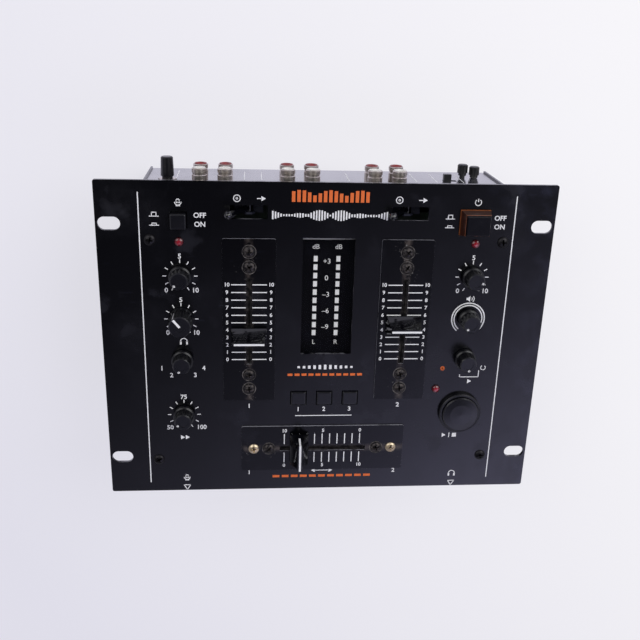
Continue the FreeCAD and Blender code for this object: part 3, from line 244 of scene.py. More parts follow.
class Finish(Nodes):
    """A procedural material on Object coordinates."""

    def __init__(self, name, **constants):
        self.material = bpy.data.materials.new(name)
        self.material.use_nodes = True
        super().__init__(self.material.node_tree)
        self.tree.nodes.clear()
        self.shader = self.add("ShaderNodeBsdfPrincipled")
        self.output = self.add("ShaderNodeOutputMaterial", None, {"Surface": self.shader.outputs[0]})
        coordinates = self.add("ShaderNodeTexCoord").outputs
        self.place = coordinates["Object"]
        self.x, self.y, self.z = self.split(self.place)
        self.up = self.split(coordinates["Normal"])[2]
        for socket, value in constants.items():
            self.shader.inputs[socket.replace("_", " ")].default_value = value

    def set(self, socket, value):
        if isinstance(value, Wire):
            value = value.socket
        self.tree.links.new(value, self.shader.inputs[socket])

    def noise(self, scale, detail=3.0, stretch=None):
        place = self.place
        if stretch:
            place = self.add("ShaderNodeMapping", None, {"Vector": place, "Scale": stretch}).outputs[0]
        node = self.add("ShaderNodeTexNoise", None, {"Vector": place, "Scale": scale, "Detail": detail})
        return Wire(self, node.outputs[0])

    def grain(self, height, distance, strength):
        bump = self.add("ShaderNodeBump", None, {
            "Height": height, "Distance": distance, "Strength": strength})
        self.set("Normal", bump.outputs[0])


class Growth(Nodes):
    """A geometry tree with named sizes that grows pieces on points."""

    def __init__(self, name, sizes):
        super().__init__(bpy.data.node_groups.new(name, "GeometryNodeTree"))
        sockets = self.tree.interface
        sockets.new_socket("Geometry", in_out="INPUT", socket_type="NodeSocketGeometry")
        self.keys = {}
        for label in sizes:
            socket = sockets.new_socket(label, in_out="INPUT", socket_type="NodeSocketFloat")
            self.keys[label] = socket.identifier
        sockets.new_socket("Geometry", in_out="OUTPUT", socket_type="NodeSocketGeometry")
        self.given = self.add("NodeGroupInput")
        self.sizes = sizes

    def size(self, label):
        return Wire(self, self.given.outputs[label])

    def vector(self, x, y, z):
        return self.add("ShaderNodeCombineXYZ", None, {0: x, 1: y, 2: z}).outputs[0]

    def moved(self, shape, **changes):
        return self.add("GeometryNodeTransform", None, {"Geometry": shape, **changes}).outputs[0]

    def finish(self, shape, material):
        """Put the shape on every point along the point's axis, each with its own turn."""
        axis = self.add("GeometryNodeInputNamedAttribute", {"data_type": "FLOAT_VECTOR"}, {"Name": "axis"})
        aim = self.add("FunctionNodeAlignRotationToVector", {"axis": "Z"}, {"Vector": axis.outputs[0]})
        spin = self.add("FunctionNodeRandomValue", {"data_type": "FLOAT"}, {
            2: 0.0, 3: math.pi, 8: SPIN_SEED})
        own = self.add("FunctionNodeAxisAngleToRotation", None, {
            "Axis": (0.0, 0.0, 1.0), "Angle": spin.outputs[1]})
        turn = self.add("FunctionNodeRotateRotation", {"rotation_space": "LOCAL"}, {
            0: aim.outputs[0], 1: own.outputs[0]})
        copies = self.add("GeometryNodeInstanceOnPoints", None, {
            "Points": self.given.outputs["Geometry"], "Instance": shape, "Rotation": turn.outputs[0]})
        solid = self.add("GeometryNodeRealizeInstances", None, {0: copies.outputs[0]})
        dressed = self.add("GeometryNodeSetMaterial", None, {
            "Geometry": solid.outputs[0], "Material": material})
        self.add("NodeGroupOutput", None, {0: dressed.outputs[0]})

    def grow(self, name, spots):
        """The plain mesh of the shapes on (place, axis) spots given in millimetres."""
        points = bpy.data.meshes.new(name)
        points.from_pydata([Vector(place) * MM for place, _ in spots], [], [])
        axes = points.attributes.new("axis", "FLOAT_VECTOR", "POINT")
        for row, (_, axis) in zip(axes.data, spots):
            row.vector = axis
        holder = bpy.data.objects.new(name, points)
        bpy.context.scene.collection.objects.link(holder)
        modifier = holder.modifiers.new("growth", "NODES")
        modifier.node_group = self.tree
        for label, value in self.sizes.items():
            modifier[self.keys[label]] = value * MM
        mesh = evaluated_mesh(holder)
        mesh.shade_smooth()
        mesh.set_sharp_from_angle(angle=SHARP_ANGLE)
        return mesh


# Colours, reaches of dust and wear in millimetres, and how far up a face looks that counts as flat

COOL = (0.86, 0.90, 1.55)
DUST = (0.10, 0.082, 0.072, 1.0)
HAZE = (0.042, 0.043, 0.064, 1.0)
# Bare steel of worn edges, also laid on as a painted highlight along them
BARE_STEEL_AND_HIGHLIGHT = (0.36, 0.36, 0.40, 1.0)
CRUMBS = (0.22, 0.21, 0.20, 1.0)
SLOT_DUST, CRUMB_REACH = 3.0, 9.0
CROSS_EDGE = -50.0
FADER_ZONE = 60.0
BUTTON_FOOT = 1.0
FINE_GRAIN = 0.03
FLAT = 0.93


def grey(level, tint=(1.0, 1.0, 1.0)):
    return (level * tint[0], level * tint[1], level * tint[2], 1.0)


# Finishes

class Paint(Finish):
    """Satin paint with a fine peel, dust and fine scuffs; more wear, with a painted highlight on eased edges,
    is laid over it.
    """

    def __init__(self, name, level, **constants):
        super().__init__(name, **constants)
        dust = self.noise(22.0, 4.0).ramp(0.5, 0.75) * self.noise(240.0, 2.0)
        scuffs = self.noise(60.0, 6.0, (1.0, 9.0, 1.0)).ramp(0.66, 0.72) * self.noise(15.0).ramp(0.45, 0.6)
        smudges = self.noise(55.0, 3.0).ramp(0.57, 0.66) * self.noise(9.0, 2.0).ramp(0.45, 0.6)
        self.colour = self.mix(dust * 0.06, grey(level, COOL), HAZE)
        self.lay(scuffs * 0.14, grey(0.05, COOL))
        self.lay(smudges * 0.08, HAZE)
        self.set("Roughness", 0.17 + dust * 0.2 + smudges * 0.12 + self.noise(14.0) * 0.06)
        self.grain(self.noise(1400.0, 2.0), FINE_GRAIN * MM, 0.2)

    def lay(self, factor, colour):
        self.colour = self.mix(factor, self.colour, colour)

    def rub_edges(self, low, high, share):
        """Bare metal where the eased edges turn away from the flat: partly wear, partly a painted highlight
        along the edges.
        """
        self.lay((abs(self.up) < FLAT) * self.noise(130.0, 4.0).ramp(low, high) * share, BARE_STEEL_AND_HIGHLIGHT)

    def done(self):
        self.set("Base Color", self.colour)
        return self.material


def panel_paint():
    """The panel's paint, worn grey along its right side and at the rear right corner."""
    paint = Paint("panel_paint", 0.0014, Specular_IOR_Level=0.40)
    corner = (paint.x + paint.y).ramp(0.17, 0.222)
    side = paint.x.ramp(0.105, 0.127)
    worn = corner.at_least(side * 0.6) * paint.noise(90.0, 6.0).ramp(0.46, 0.64)
    paint.lay(worn * 0.3, grey(0.05, COOL))
    # Eased edges: bare metal wear and a painted highlight
    paint.rub_edges(0.45, 0.62, 0.45)
    return paint.done()


def plate_paint():
    """The fader plates' paint, with dust gathered along the slots."""
    paint = Paint("plate_paint", 0.0011, Specular_IOR_Level=0.27)
    off_channel = abs(abs(paint.x) - CHANNELS[1] * MM).at_least(paint.y < CROSS_EDGE * MM)
    off_cross = abs(paint.y - CROSS_ROW * MM).at_least(paint.y > CROSS_EDGE * MM)
    near = off_channel.ramp(SLOT_DUST * MM, 0.0) + off_cross.ramp(SLOT_DUST * MM, 0.0)
    paint.lay(near * paint.noise(260.0, 5.0).ramp(0.38, 0.66) * 0.65, DUST)
    around = off_channel.ramp(CRUMB_REACH * MM, 0.0) + off_cross.ramp(CRUMB_REACH * MM, 0.0)
    crumbs = paint.noise(620.0, 4.0).ramp(0.655, 0.69) * paint.noise(75.0, 2.0).ramp(0.5, 0.62)
    paint.lay(around * crumbs * 0.8, CRUMBS)
    # Eased edges: bare metal wear and a painted highlight
    paint.rub_edges(0.25, 0.45, 0.8)
    return paint.done()


def case_paint(name, shine, coat):
    """Paint on the case, streaked by handling."""
    paint = Paint(name, 0.016, Specular_IOR_Level=shine, Coat_Roughness=0.18, Coat_IOR=1.65)
    streaks = paint.noise(30.0, 5.0, (1.0, 1.0, 0.2)).ramp(0.45, 0.8)
    paint.lay(streaks * 0.25, grey(0.06, COOL))
    paint.set("Coat Weight", coat - streaks * coat * 0.3)
    return paint.done()


def moulded(name, level, rough, grain=2200.0, dust=0.2, shine=0.4):
    """Moulded plastic with faint mottling, handling shine and a fine texture."""
    plastic = Finish(name, Specular_IOR_Level=shine)
    handled = plastic.noise(160.0, 4.0)
    specks = plastic.noise(900.0, 3.0).ramp(0.64, 0.72)
    colour = plastic.mix(handled.ramp(0.5, 0.85), grey(level, COOL), grey(level * 1.5, COOL))
    plastic.set("Base Color", plastic.mix(specks * dust, colour, DUST))
    plastic.set("Roughness", rough + handled * 0.10)
    plastic.grain(plastic.noise(grain, 2.0), FINE_GRAIN * MM, 0.25)
    return plastic.material


def polished_cap(name, lined=None):
    """Glossy black plastic, polished by fingers. A lined node's white line goes on down its rear end."""
    plastic = Finish(name, Coat_Weight=0.4, Coat_Roughness=0.05, Specular_IOR_Level=0.45)
    handled = plastic.noise(45.0, 2.0)
    colour = plastic.mix(handled, grey(0.0014, COOL), grey(0.0026, COOL))
    if lined:
        low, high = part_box(lined)
        across = abs(plastic.x - (low.x + high.x) / 2) < CAP_LINE * MM / 2
        end = (plastic.y > high.y - CAP_END * MM) * (plastic.z > low.z + CAP_LINE_LOW * MM)
        colour = plastic.mix(across * end, colour, grey(0.82))
    plastic.set("Base Color", colour)
    plastic.set("Roughness", 0.10 + handled * 0.06)
    return plastic.material


def button_tint():
    """Dark red plastic, with a painted orange highlight along its eased edges, and orange at its foot."""
    plastic = Finish("power_red", Roughness=0.30)
    # Painted highlight: orange on the eased faces between the sides and the top
    edge_highlight = plastic.up.ramp(0.5, 0.65) * (1.0 - plastic.up.ramp(0.88, 0.97))
    foot = plastic.z.ramp(BUTTON_FOOT * MM, 0.0)
    mottle = plastic.noise(300.0, 4.0).ramp(0.35, 0.8)
    body = plastic.mix(mottle, (0.040, 0.011, 0.006, 1.0), (0.022, 0.008, 0.005, 1.0))
    plastic.set("Base Color", plastic.mix(edge_highlight.at_least(foot), body, (0.42, 0.13, 0.045, 1.0)))
    plastic.grain(plastic.noise(1800.0, 2.0), FINE_GRAIN * MM, 0.25)
    return plastic.material


def coloured_plastic(name, colour, shade, rough):
    """Mottled plastic of two shades of one colour."""
    plastic = Finish(name)
    mottle = plastic.noise(300.0, 4.0)
    plastic.set("Base Color", plastic.mix(mottle.ramp(0.35, 0.8), colour, shade))
    plastic.set("Roughness", rough + mottle * 0.15)
    plastic.grain(plastic.noise(1800.0, 2.0), FINE_GRAIN * MM, 0.25)
    return plastic.material


def plated(name, colour, tarnish, rough):
    """Plated metal with turning marks and tarnish."""
    metal = Finish(name, Metallic=1.0)
    stain = metal.noise(180.0, 5.0).ramp(0.45, 0.75)
    metal.set("Base Color", metal.mix(stain, colour, tarnish))
    metal.set("Roughness", rough + stain * 0.22)
    metal.grain(metal.noise(900.0, 2.0, (1.0, 6.0, 1.0)), FINE_GRAIN * MM, 0.25)
    return metal.material


def dusty(name, dark, pale):
    """Something dark under pale fluff."""
    fluffy = Finish(name, Specular_IOR_Level=0.1)
    fluff = fluffy.noise(420.0, 6.0)
    fluffy.set("Base Color", fluffy.mix(fluff.ramp(0.42, 0.72), dark, pale))
    fluffy.set("Roughness", 0.55 + fluff * 0.3)
    fluffy.grain(fluff, 0.2 * MM, 0.5)
    return fluffy.material


def dusty_screw():
    """Blackened screws, dusty where the faders are used."""
    metal = Finish("black_screw", Metallic=0.85)
    dust = metal.noise(700.0, 5.0).ramp(0.42, 0.68) * (abs(metal.x) < FADER_ZONE * MM)
    metal.set("Base Color", metal.mix(dust * 0.75, (0.018, 0.017, 0.019, 1.0), (0.15, 0.13, 0.12, 1.0)))
    metal.set("Roughness", 0.36 + dust * 0.4)
    metal.grain(dust, 0.06 * MM, 0.4)
    return metal.material


def smoked_pane():
    """The meter's dark window, with light caught along its rear edge."""
    pane = Finish("smoked_window", Roughness=0.08, IOR=1.49, Specular_IOR_Level=0.22)
    haze = pane.noise(70.0, 5.0)
    fade = pane.x.ramp(0.0, GLINT_FADE * MM) * 0.6
    glint = pane.y.ramp((GLINT_Y - GLINT_BLUR) * MM, GLINT_Y * MM) * (1.0 - fade)
    smoke = pane.mix(haze.ramp(0.5, 0.85), grey(0.004, COOL), grey(0.015, COOL))
    pane.set("Base Color", pane.mix(glint, smoke, grey(0.34)))
    pane.set("Alpha", (0.10 + haze * 0.08).at_least(glint * 0.9))
    return pane.material


def meter_lights():
    """White light bars, lit inside a dark rim."""
    bars = Finish("meter_white", Roughness=0.45, Emission_Strength=0.45)
    along = bars.y - METER_FIRST * MM
    off_row = along.math("PINGPONG", along, METER_PITCH * MM / 2)
    off_column = abs(abs(bars.x) - METER_COLUMNS[1] * MM)
    lit = (off_row < BAR_HALF_LENGTH * MM) * (off_column < BAR_HALF_WIDTH * MM)
    white = bars.mix(bars.noise(300.0, 4.0).ramp(0.35, 0.8), grey(0.86), grey(0.72))
    bars.set("Base Color", bars.mix(lit, grey(0.002), white))
    bars.set("Emission Color", bars.mix(lit, grey(0.0), white))
    bars.grain(bars.noise(1800.0, 2.0), FINE_GRAIN * MM, 0.25)
    return bars.material


def light_lens():
    """A red indicator light, brighter at the middle of its dome."""
    lens = Finish("light_red", Roughness=0.16, Coat_Weight=0.4, Emission_Strength=0.10)
    core = lens.up.ramp(0.82, 0.99) * (0.75 + lens.noise(260.0, 2.0) * 0.3)
    lens.set("Base Color", lens.mix(core, (0.030, 0.002, 0.005, 1.0), (0.20, 0.010, 0.022, 1.0)))
    lens.set("Emission Color", lens.mix(core, (0.01, 0.0, 0.0, 1.0), (0.8, 0.02, 0.02, 1.0)))
    return lens.material


def circuit_board():
    """Dark green lacquer over copper tracks."""
    board = Finish("board_green", Roughness=0.45)
    tracks = board.noise(350.0, 2.0, (1.0, 0.15, 1.0)).ramp(0.5, 0.54)
    board.set("Base Color", board.mix(tracks, (0.002, 0.007, 0.004, 1.0), (0.004, 0.013, 0.007, 1.0)))
    board.grain(tracks, 0.05 * MM, 0.4)
    return board.material


def printed(name, colour, faded, glow=0.0):
    """Screen-printed ink, faded in spots; any glow given to it is painted light."""
    ink = Finish(name, Roughness=0.55, Emission_Color=colour, Emission_Strength=glow)
    worn = ink.noise(420.0, 5.0).ramp(0.52, 0.80)
    ink.set("Base Color", ink.mix(worn * 0.5, colour, faded))
    ink.grain(ink.noise(2600.0, 2.0), 0.02 * MM, 0.2)
    return ink.material


FINISHES = {
    "panel_paint": panel_paint(),
    "case_paint": case_paint("case_paint", 0.6, 0.95),
    "plate_paint": plate_paint(),
    "black_screw": dusty_screw(),
    "brass_screw": plated("brass_screw", (0.66, 0.55, 0.38, 1.0), (0.36, 0.29, 0.21, 1.0), 0.34),
    "zinc_steel": plated("zinc_steel", (0.48, 0.47, 0.46, 1.0), (0.30, 0.26, 0.21, 1.0), 0.36),
    "nickel": plated("nickel", (0.58, 0.53, 0.49, 1.0), (0.30, 0.25, 0.22, 1.0), 0.30),
    "black_plastic": moulded("black_plastic", 0.0030, 0.34),
    "knob_black": moulded("knob_black", 0.0028, 0.24, dust=0.1),
    "cap_black": polished_cap("cap_black"),
    "power_red": button_tint(),
    "smoked_window": smoked_pane(),
    "meter_white": meter_lights(),
    "light_red": light_lens(),
    "phono_red": coloured_plastic("phono_red", (0.26, 0.022, 0.020, 1.0), (0.13, 0.014, 0.013, 1.0), 0.38),
    "phono_white": coloured_plastic("phono_white", (0.78, 0.77, 0.73, 1.0), (0.60, 0.58, 0.53, 1.0), 0.40),
    "board_green": circuit_board(),
    "foot_rubber": moulded("foot_rubber", 0.014, 0.72, grain=700.0),
    "black_metal": plated("black_metal", (0.05, 0.05, 0.052, 1.0), (0.13, 0.12, 0.11, 1.0), 0.36),
}

# Nodes whose finish isn't their material slot's
OWN_FINISHES = {
    "fader_tracks": dusty("track_dust", (0.010, 0.008, 0.008, 1.0), (0.075, 0.055, 0.045, 1.0)),
    "toggle_1_lever": FINISHES["cap_black"],
    "toggle_2_lever": FINISHES["cap_black"],
    "trim_knob": FINISHES["knob_black"],
    "meter_led_holder": moulded("meter_black", 0.0010, 0.6, dust=0.01, shine=0.1),
    "side_panels": case_paint("side_paint", 0.3, 0.1),
    "power_button_cap": moulded("power_cap", 0.0024, 0.24, dust=0.1, shine=0.2),
    # The toggle switches' bodies are made lighter than their black plastic: painted light where they sit in
    # the slots' shade
    "switch_bodies": moulded("switch_grey", 0.045, 0.5),
    "crossfader_cap": polished_cap("lined_cap_black", "crossfader_cap"),
}

LIP_FELT = dusty("lip_felt", (0.004, 0.0035, 0.004, 1.0), (0.036, 0.032, 0.030, 1.0))
DUST_RING = dusty("dust_ring", (0.035, 0.032, 0.032, 1.0), (0.17, 0.155, 0.145, 1.0))
WHITE_INK = printed("white_ink", grey(0.82), grey(0.56))
# The meter's ink glows a little: painted light, so that it shows through the dark window
GLOWING_METER_INK = printed("meter_ink", grey(0.85), grey(0.74), 0.4)
ORANGE_INK = printed("orange_ink", (0.72, 0.14, 0.02, 1.0), (0.48, 0.10, 0.02, 1.0))

# Nodes with rounded edges, by the rounding in millimetres
EASED = {
    0.25: ("front_panel", "channel_plates", "crossfader_plate"),
    0.45: ("channel_1_cap", "channel_2_cap", "crossfader_cap", "power_button", "power_button_cap",
           "talkover_button", "assign_1_button", "assign_2_button", "assign_3_button"),
}


def dress_nodes():
    """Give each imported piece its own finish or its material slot's."""
    for entry in frame["record"]["subparts"]:
        materials = frame["nodes"][entry["node"]].data.materials
        materials.clear()
        materials.append(OWN_FINISHES.get(entry["node"], FINISHES[entry["material_slot"]]))


def ease_edges():
    """Round the sharp edges of sheet and moulded pieces so that they catch light."""
    for width, names in EASED.items():
        for name in names:
            piece = frame["nodes"][name]
            weld = piece.modifiers.new("weld", "WELD")
            weld.merge_threshold = WELD_REACH * MM
            bevel = piece.modifiers.new("eased_edge", "BEVEL")
            bevel.width = width * MM
            bevel.segments = 2
            bevel.limit_method = "ANGLE"
            bevel.angle_limit = SHARP_ANGLE
            bevel.harden_normals = True


dress_nodes()
ease_edges()


# Meshes

def new_piece(name, mesh, body):
    """A mesh as a piece that rides on a body."""
    piece = bpy.data.objects.new(name, mesh)
    bpy.context.scene.collection.objects.link(piece)
    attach(piece, body)
    return piece


def solid_piece(name, shape, material, body="chassis"):
    """A piece made from a bmesh, which is used up."""
    bmesh.ops.recalc_face_normals(shape, faces=shape.faces)
    mesh = bpy.data.meshes.new(name)
    shape.to_mesh(mesh)
    shape.free()
    mesh.materials.append(material)
    new_piece(name, mesh, body)


def evaluated_mesh(holder):
    """The plain mesh of an object as its modifiers or text leave it. The object is used up."""
    bpy.context.view_layer.update()
    graph = bpy.context.evaluated_depsgraph_get()
    mesh = bpy.data.meshes.new_from_object(holder.evaluated_get(graph))
    source = holder.data
    bpy.data.objects.remove(holder)
    if isinstance(source, bpy.types.Mesh):
        bpy.data.meshes.remove(source)
    else:
        bpy.data.curves.remove(source)
    return mesh


class Print:
    """Marks of one ink gathered into one mesh."""

    def __init__(self, base=Matrix.Identity(4)):
        self.marks = bmesh.new()
        self.base = Matrix.Scale(MM, 4) @ base

    def bar(self, x, y, width, depth, z=0.0, turn=0.0, centre=(0.0, 0.0)):
        """A flat bar in millimetres, turned about a centre on the panel."""
        box = bmesh.ops.create_cube(self.marks, size=1.0)["verts"]
        size = Matrix.Diagonal((width, depth, INK_THICK, 1.0))
        place = Matrix.Translation((centre[0], centre[1], z + INK_THICK / 2))
        spin = Matrix.Rotation(math.radians(turn), 4, "Z")
        out = Matrix.Translation((x - centre[0], y - centre[1], 0.0))
        bmesh.ops.transform(self.marks, matrix=self.base @ place @ spin @ out @ size, verts=box)

    def arc(self, x, y, radius, width, first, last, steps=28, z=0.0):
        """A band of overlapping bars round a centre between two angles, clockwise from the rear."""
        for step in range(steps):
            turn = -(first + (step + 0.5) * (last - first) / steps)
            length = radius * math.radians(abs(last - first) / steps) * 1.06
            self.bar(x, y + radius, length, width, z, turn, (x, y))

    def word(self, text, x, y, size, z=0.0, weight=BOLD):
        """Lettering centred on a point."""
        curve = bpy.data.curves.new("lettering", "FONT")
        curve.body = text
        curve.align_x, curve.align_y = "CENTER", "CENTER"
        curve.size = size
        curve.offset = weight * size
        curve.extrude = INK_THICK / 2
        curve.resolution_u = 3
        holder = bpy.data.objects.new("lettering", curve)
        bpy.context.scene.collection.objects.link(holder)
        mesh = evaluated_mesh(holder)
        mesh.transform(self.base @ Matrix.Translation((x, y, z + INK_THICK / 2)))
        self.marks.from_mesh(mesh)
        bpy.data.meshes.remove(mesh)

    def shape(self, points):
        """A flat patch with the given corners."""
        low = [self.marks.verts.new(self.base @ Vector((x, y, 0.0))) for x, y in points]
        high = [self.marks.verts.new(self.base @ Vector((x, y, INK_THICK))) for x, y in points]
        self.marks.faces.new(low)
        self.marks.faces.new(high)
        for i in range(len(points)):
            self.marks.faces.new((low[i - 1], low[i], high[i], high[i - 1]))

    def finish(self, name, ink, slot, body="chassis"):
        solid_piece(name, self.marks, ink, body)


# Signs drawn with strokes, each about 4 mm high

def microphone(ink, x, y):
    ink.arc(x, y + 0.9, 0.55, 1.1, 0.0, 360.0, 14)
    ink.bar(x, y + 0.2, 2.2, 1.4)
    ink.arc(x, y + 0.1, 1.75, STROKE, 90.0, 270.0, 12)
    ink.bar(x, y - 2.0, 2.4, STROKE)


def headphones(ink, x, y):
    ink.arc(x, y - 0.2, 1.9, STROKE, -95.0, 95.0, 14)
    for side in (-1, 1):
        ink.bar(x + side * 1.75, y - 1.1, 1.0, 1.9)


def loudspeaker(ink, x, y):
    ink.shape([(x - 2.0, y - 0.7), (x - 1.1, y - 0.7), (x + 0.2, y - 1.8),
               (x + 0.2, y + 1.8), (x - 1.1, y + 0.7), (x - 2.0, y + 0.7)])
    for radius in (1.2, 2.3):
        ink.arc(x + 0.2, y, radius, STROKE, 45.0, 135.0, 8)


def power_sign(ink, x, y):
    ink.arc(x, y, 1.7, STROKE, 35.0, 325.0, 20)
    ink.bar(x, y + 1.2, STROKE, 1.9)


def record_sign(ink, x, y):
    ink.arc(x, y, 1.8, STROKE, 0.0, 360.0, 24)
    ink.arc(x, y, 0.35, 0.7, 0.0, 360.0, 10)


def arrow(ink, x, y, way=1):
    """A filled triangle that points right, or left where way is -1."""
    ink.shape([(x + way * 1.6, y), (x - way * 0.8, y + 1.4), (x - way * 0.8, y - 1.4)][::way])


def line_sign(ink, x, y):
    ink.bar(x - 0.9, y, 2.6, STROKE)
    arrow(ink, x + 1.0, y)


def start_signs(ink, x, y):
    """An arrow, a bar and a square."""
    arrow(ink, x, y)
    ink.bar(x + 3.6, y, STROKE, 3.4)
    ink.bar(x + 6.8, y, 2.6, 2.6)


def latch_sign(ink, x, y, rise):
    """A button standing out of a surface by its rise."""
    ink.bar(x, y - 0.25, 5.2, LATCH_STROKE)
    ink.bar(x, y + rise, 2.8, LATCH_STROKE)
    for side in (-1, 1):
        ink.bar(x + side * 1.2, y + rise / 2, LATCH_STROKE, rise)


def front_pointer(ink, x, y):
    """An open triangle that points to the front edge."""
    ink.bar(x, y + 1.6, 4.0, STROKE)
    for side in (-1, 1):
        ink.bar(x + side, y, STROKE, 3.7, 0.0, side * -31.0, (x + side, y))


# Scales and signs on the panel and the rear wall

def dial(ink, x, y, numbers):
    """Ticks every 30 degrees round a knob with a few numbers outside them."""
    for step in range(DIAL_TICKS):
        turn = DIAL_SWEEP - step * 2 * DIAL_SWEEP / (DIAL_TICKS - 1)
        ink.bar(x, y + (TICK_INNER + TICK_OUTER) / 2, TICK_WIDTH, TICK_OUTER - TICK_INNER, 0.0, turn, (x, y))
    set_numbers(ink, x, y, numbers)


def set_numbers(ink, x, y, numbers):
    """Numbers at their offsets from a centre."""
    for text, (dx, dy) in numbers.items():
        ink.word(text, x + dx, y + dy, LETTER)


def knob_print(white, orange):
    """Scales, choices and signs round the knobs."""
    for x, row in ((-KNOB_COLUMN, "mic"), (-KNOB_COLUMN, "cue"), (KNOB_COLUMN, "mic")):
        dial(white, x, KNOB_ROWS[row], TENTHS)
    dial(white, -KNOB_COLUMN, KNOB_ROWS["speed"], PERCENTS)
    for radius in LEVEL_RINGS:
        white.arc(KNOB_COLUMN, KNOB_ROWS["cue"], radius, LEVEL_RING_WIDTH,
                  -LEVEL_RING_SWEEP, LEVEL_RING_SWEEP)
    set_numbers(white, -KNOB_COLUMN, KNOB_ROWS["assign"], CHOICES)
    x, y = KNOB_COLUMN, KNOB_ROWS["assign"]
    orange.arc(x + MODE_DOT[0], y + MODE_DOT[1], 0.7, 1.4, 0.0, 360.0, 16)
    for left, low, width, depth in MODE_BRACKET:
        white.bar(x + left, y + low, width, depth)
    arrow(white, x + MODE_ARROW[0], y + MODE_ARROW[1])
    white.arc(x + MODE_LOOP[0], y + MODE_LOOP[1], 1.4, STROKE, 40.0, 330.0, 18)
    loudspeaker(white, x, KNOB_ROWS["mic"] - LOUDSPEAKER_DROP)
    headphones(white, HEADPHONES_X - KNOB_COLUMN, KNOB_ROWS["cue"] - HEADPHONES_DROP)
    for left in SPEED_ARROW_XS:
        arrow(white, left - KNOB_COLUMN, KNOB_ROWS["speed"] - SPEED_ARROW_DROP)


def button_print(ink):
    """ON and OFF beside the latching buttons, with the out and in signs, and signs at the other buttons."""
    for x in LATCH_WORD_XS:
        for text, y in LATCH_WORDS.items():
            ink.word(text, x, y, LETTER)
    for x in LATCH_SIGN_XS:
        for y, rise in LATCH_SIGNS:
            latch_sign(ink, x, y, rise)
    for number, x in enumerate(ASSIGN_XS, 1):
        ink.word(str(number), x, ASSIGN_NUMBER_Y, LETTER)
    ink.bar(0.0, ASSIGN_LINE_Y, ASSIGN_LINE, STROKE)
    microphone(ink, *TALKOVER_SIGN)
    power_sign(ink, *POWER_SIGN)
    start_signs(ink, *START_SIGNS)


def fader_print(ink):
    """Lines and numbers along the faders, with each channel's number and source signs."""
    for number, x in enumerate(CHANNELS, 1):
        for y in CHANNEL_NAME_YS:
            ink.word(str(number), x, y, LETTER)
        record_sign(ink, x - SOURCE_X, SOURCE_Y)
        line_sign(ink, x + SOURCE_X, SOURCE_Y)
        for step in range(SCALE_STEPS + 1):
            y = CHANNEL_ZERO + step * (CHANNEL_TEN - CHANNEL_ZERO) / SCALE_STEPS
            for side in (-1, 1):
                ink.bar(x + side * CHANNEL_LINE_X, y, CHANNEL_LINE, SCALE_STROKE, PLATE_TOP)
                ink.word(str(step), x + side * CHANNEL_NUMBER_X, y, SMALL_LETTER, PLATE_TOP)
    for step in range(SCALE_STEPS + 1):
        x = CROSS_ENDS[0] + step * (CROSS_ENDS[1] - CROSS_ENDS[0]) / SCALE_STEPS
        for side in (-1, 1):
            ink.bar(x, CROSS_ROW + side * CROSS_LINE_Y, SCALE_STROKE, CROSS_LINE, PLATE_TOP)
    for side, numbers in ((1, ("10", "5", "0")), (-1, ("0", "5", "10"))):
        for text, x in zip(numbers, (CROSS_ENDS[0], 0.0, CROSS_ENDS[1])):
            ink.word(text, x, CROSS_ROW + side * CROSS_NUMBER_Y, SMALL_LETTER, PLATE_TOP)
    for way in (-1, 1):
        arrow(ink, way * CROSS_ARROW_X, CROSS_ARROW_Y, way)
    ink.bar(0.0, CROSS_ARROW_Y, CROSS_ARROW, STROKE)


def meter_print(ink):
    """Levels between the meter's columns, and what the columns show."""
    for row, text in enumerate(METER_STEPS):
        y = METER_FIRST + (2 * row + METER_STEP_RISE) * METER_PITCH
        ink.word(text, 0.0, y, METER_LETTER, METER_FACE, PLAIN)
    for x, side in zip(METER_COLUMNS, "LR"):
        ink.word("dB", x, METER_HEAD_Y, LETTER, METER_FACE, PLAIN)
        ink.word(side, x, METER_FOOT_Y, LETTER, METER_FACE, PLAIN)


def ornament(white, orange):
    """Level bars, a sound wave, dashes and a row of stepped bars."""
    for step in range(-7, 8):
        rise = 3.4 + 3.2 * abs(math.cos(0.55 * step))
        orange.bar(step * LEVEL_BAR_PITCH, LEVEL_BARS_Y + rise / 2, LEVEL_BAR, rise)
    for step in range(-21, 22):
        rise = 0.9 + 5.6 * abs(math.sin(0.37 * step) * math.cos(0.11 * step))
        white.bar(step * WAVE_PITCH, WAVE_Y, WAVE_STROKE, rise)
    for step in range(-5, 6):
        orange.bar(step * METER_DASH_PITCH, METER_DASH_Y, *METER_DASH)
        orange.bar(step * FRONT_DASH_PITCH, FRONT_DASH_Y, *FRONT_DASH)
        white.bar(step * STEP_BAR_PITCH, STEP_BARS_Y, STEP_BAR, 3.0 - 0.35 * abs(step))


def panel_print():
    """All the print on the panel and in the meter, a piece for each ink."""
    white, orange, lit = Print(), Print(), Print()
    for side in (-1, 1):
        white.bar(side * BORDER_X, (BORDER_LOW + BORDER_HIGH) / 2, BORDER_STROKE, BORDER_HIGH - BORDER_LOW)
    knob_print(white, orange)
    button_print(white)
    fader_print(white)
    ornament(white, orange)
    microphone(white, FRONT_LEFT, FRONT_SIGN_Y)
    headphones(white, FRONT_RIGHT, FRONT_SIGN_Y)
    for x in (FRONT_LEFT, FRONT_RIGHT):
        front_pointer(white, x, FRONT_POINTER_Y)
    meter_print(lit)
    white.finish("white_print", WHITE_INK, "meter_white")
    orange.finish("orange_print", ORANGE_INK, "power_red")
    lit.finish("meter_print", GLOWING_METER_INK, "meter_white")


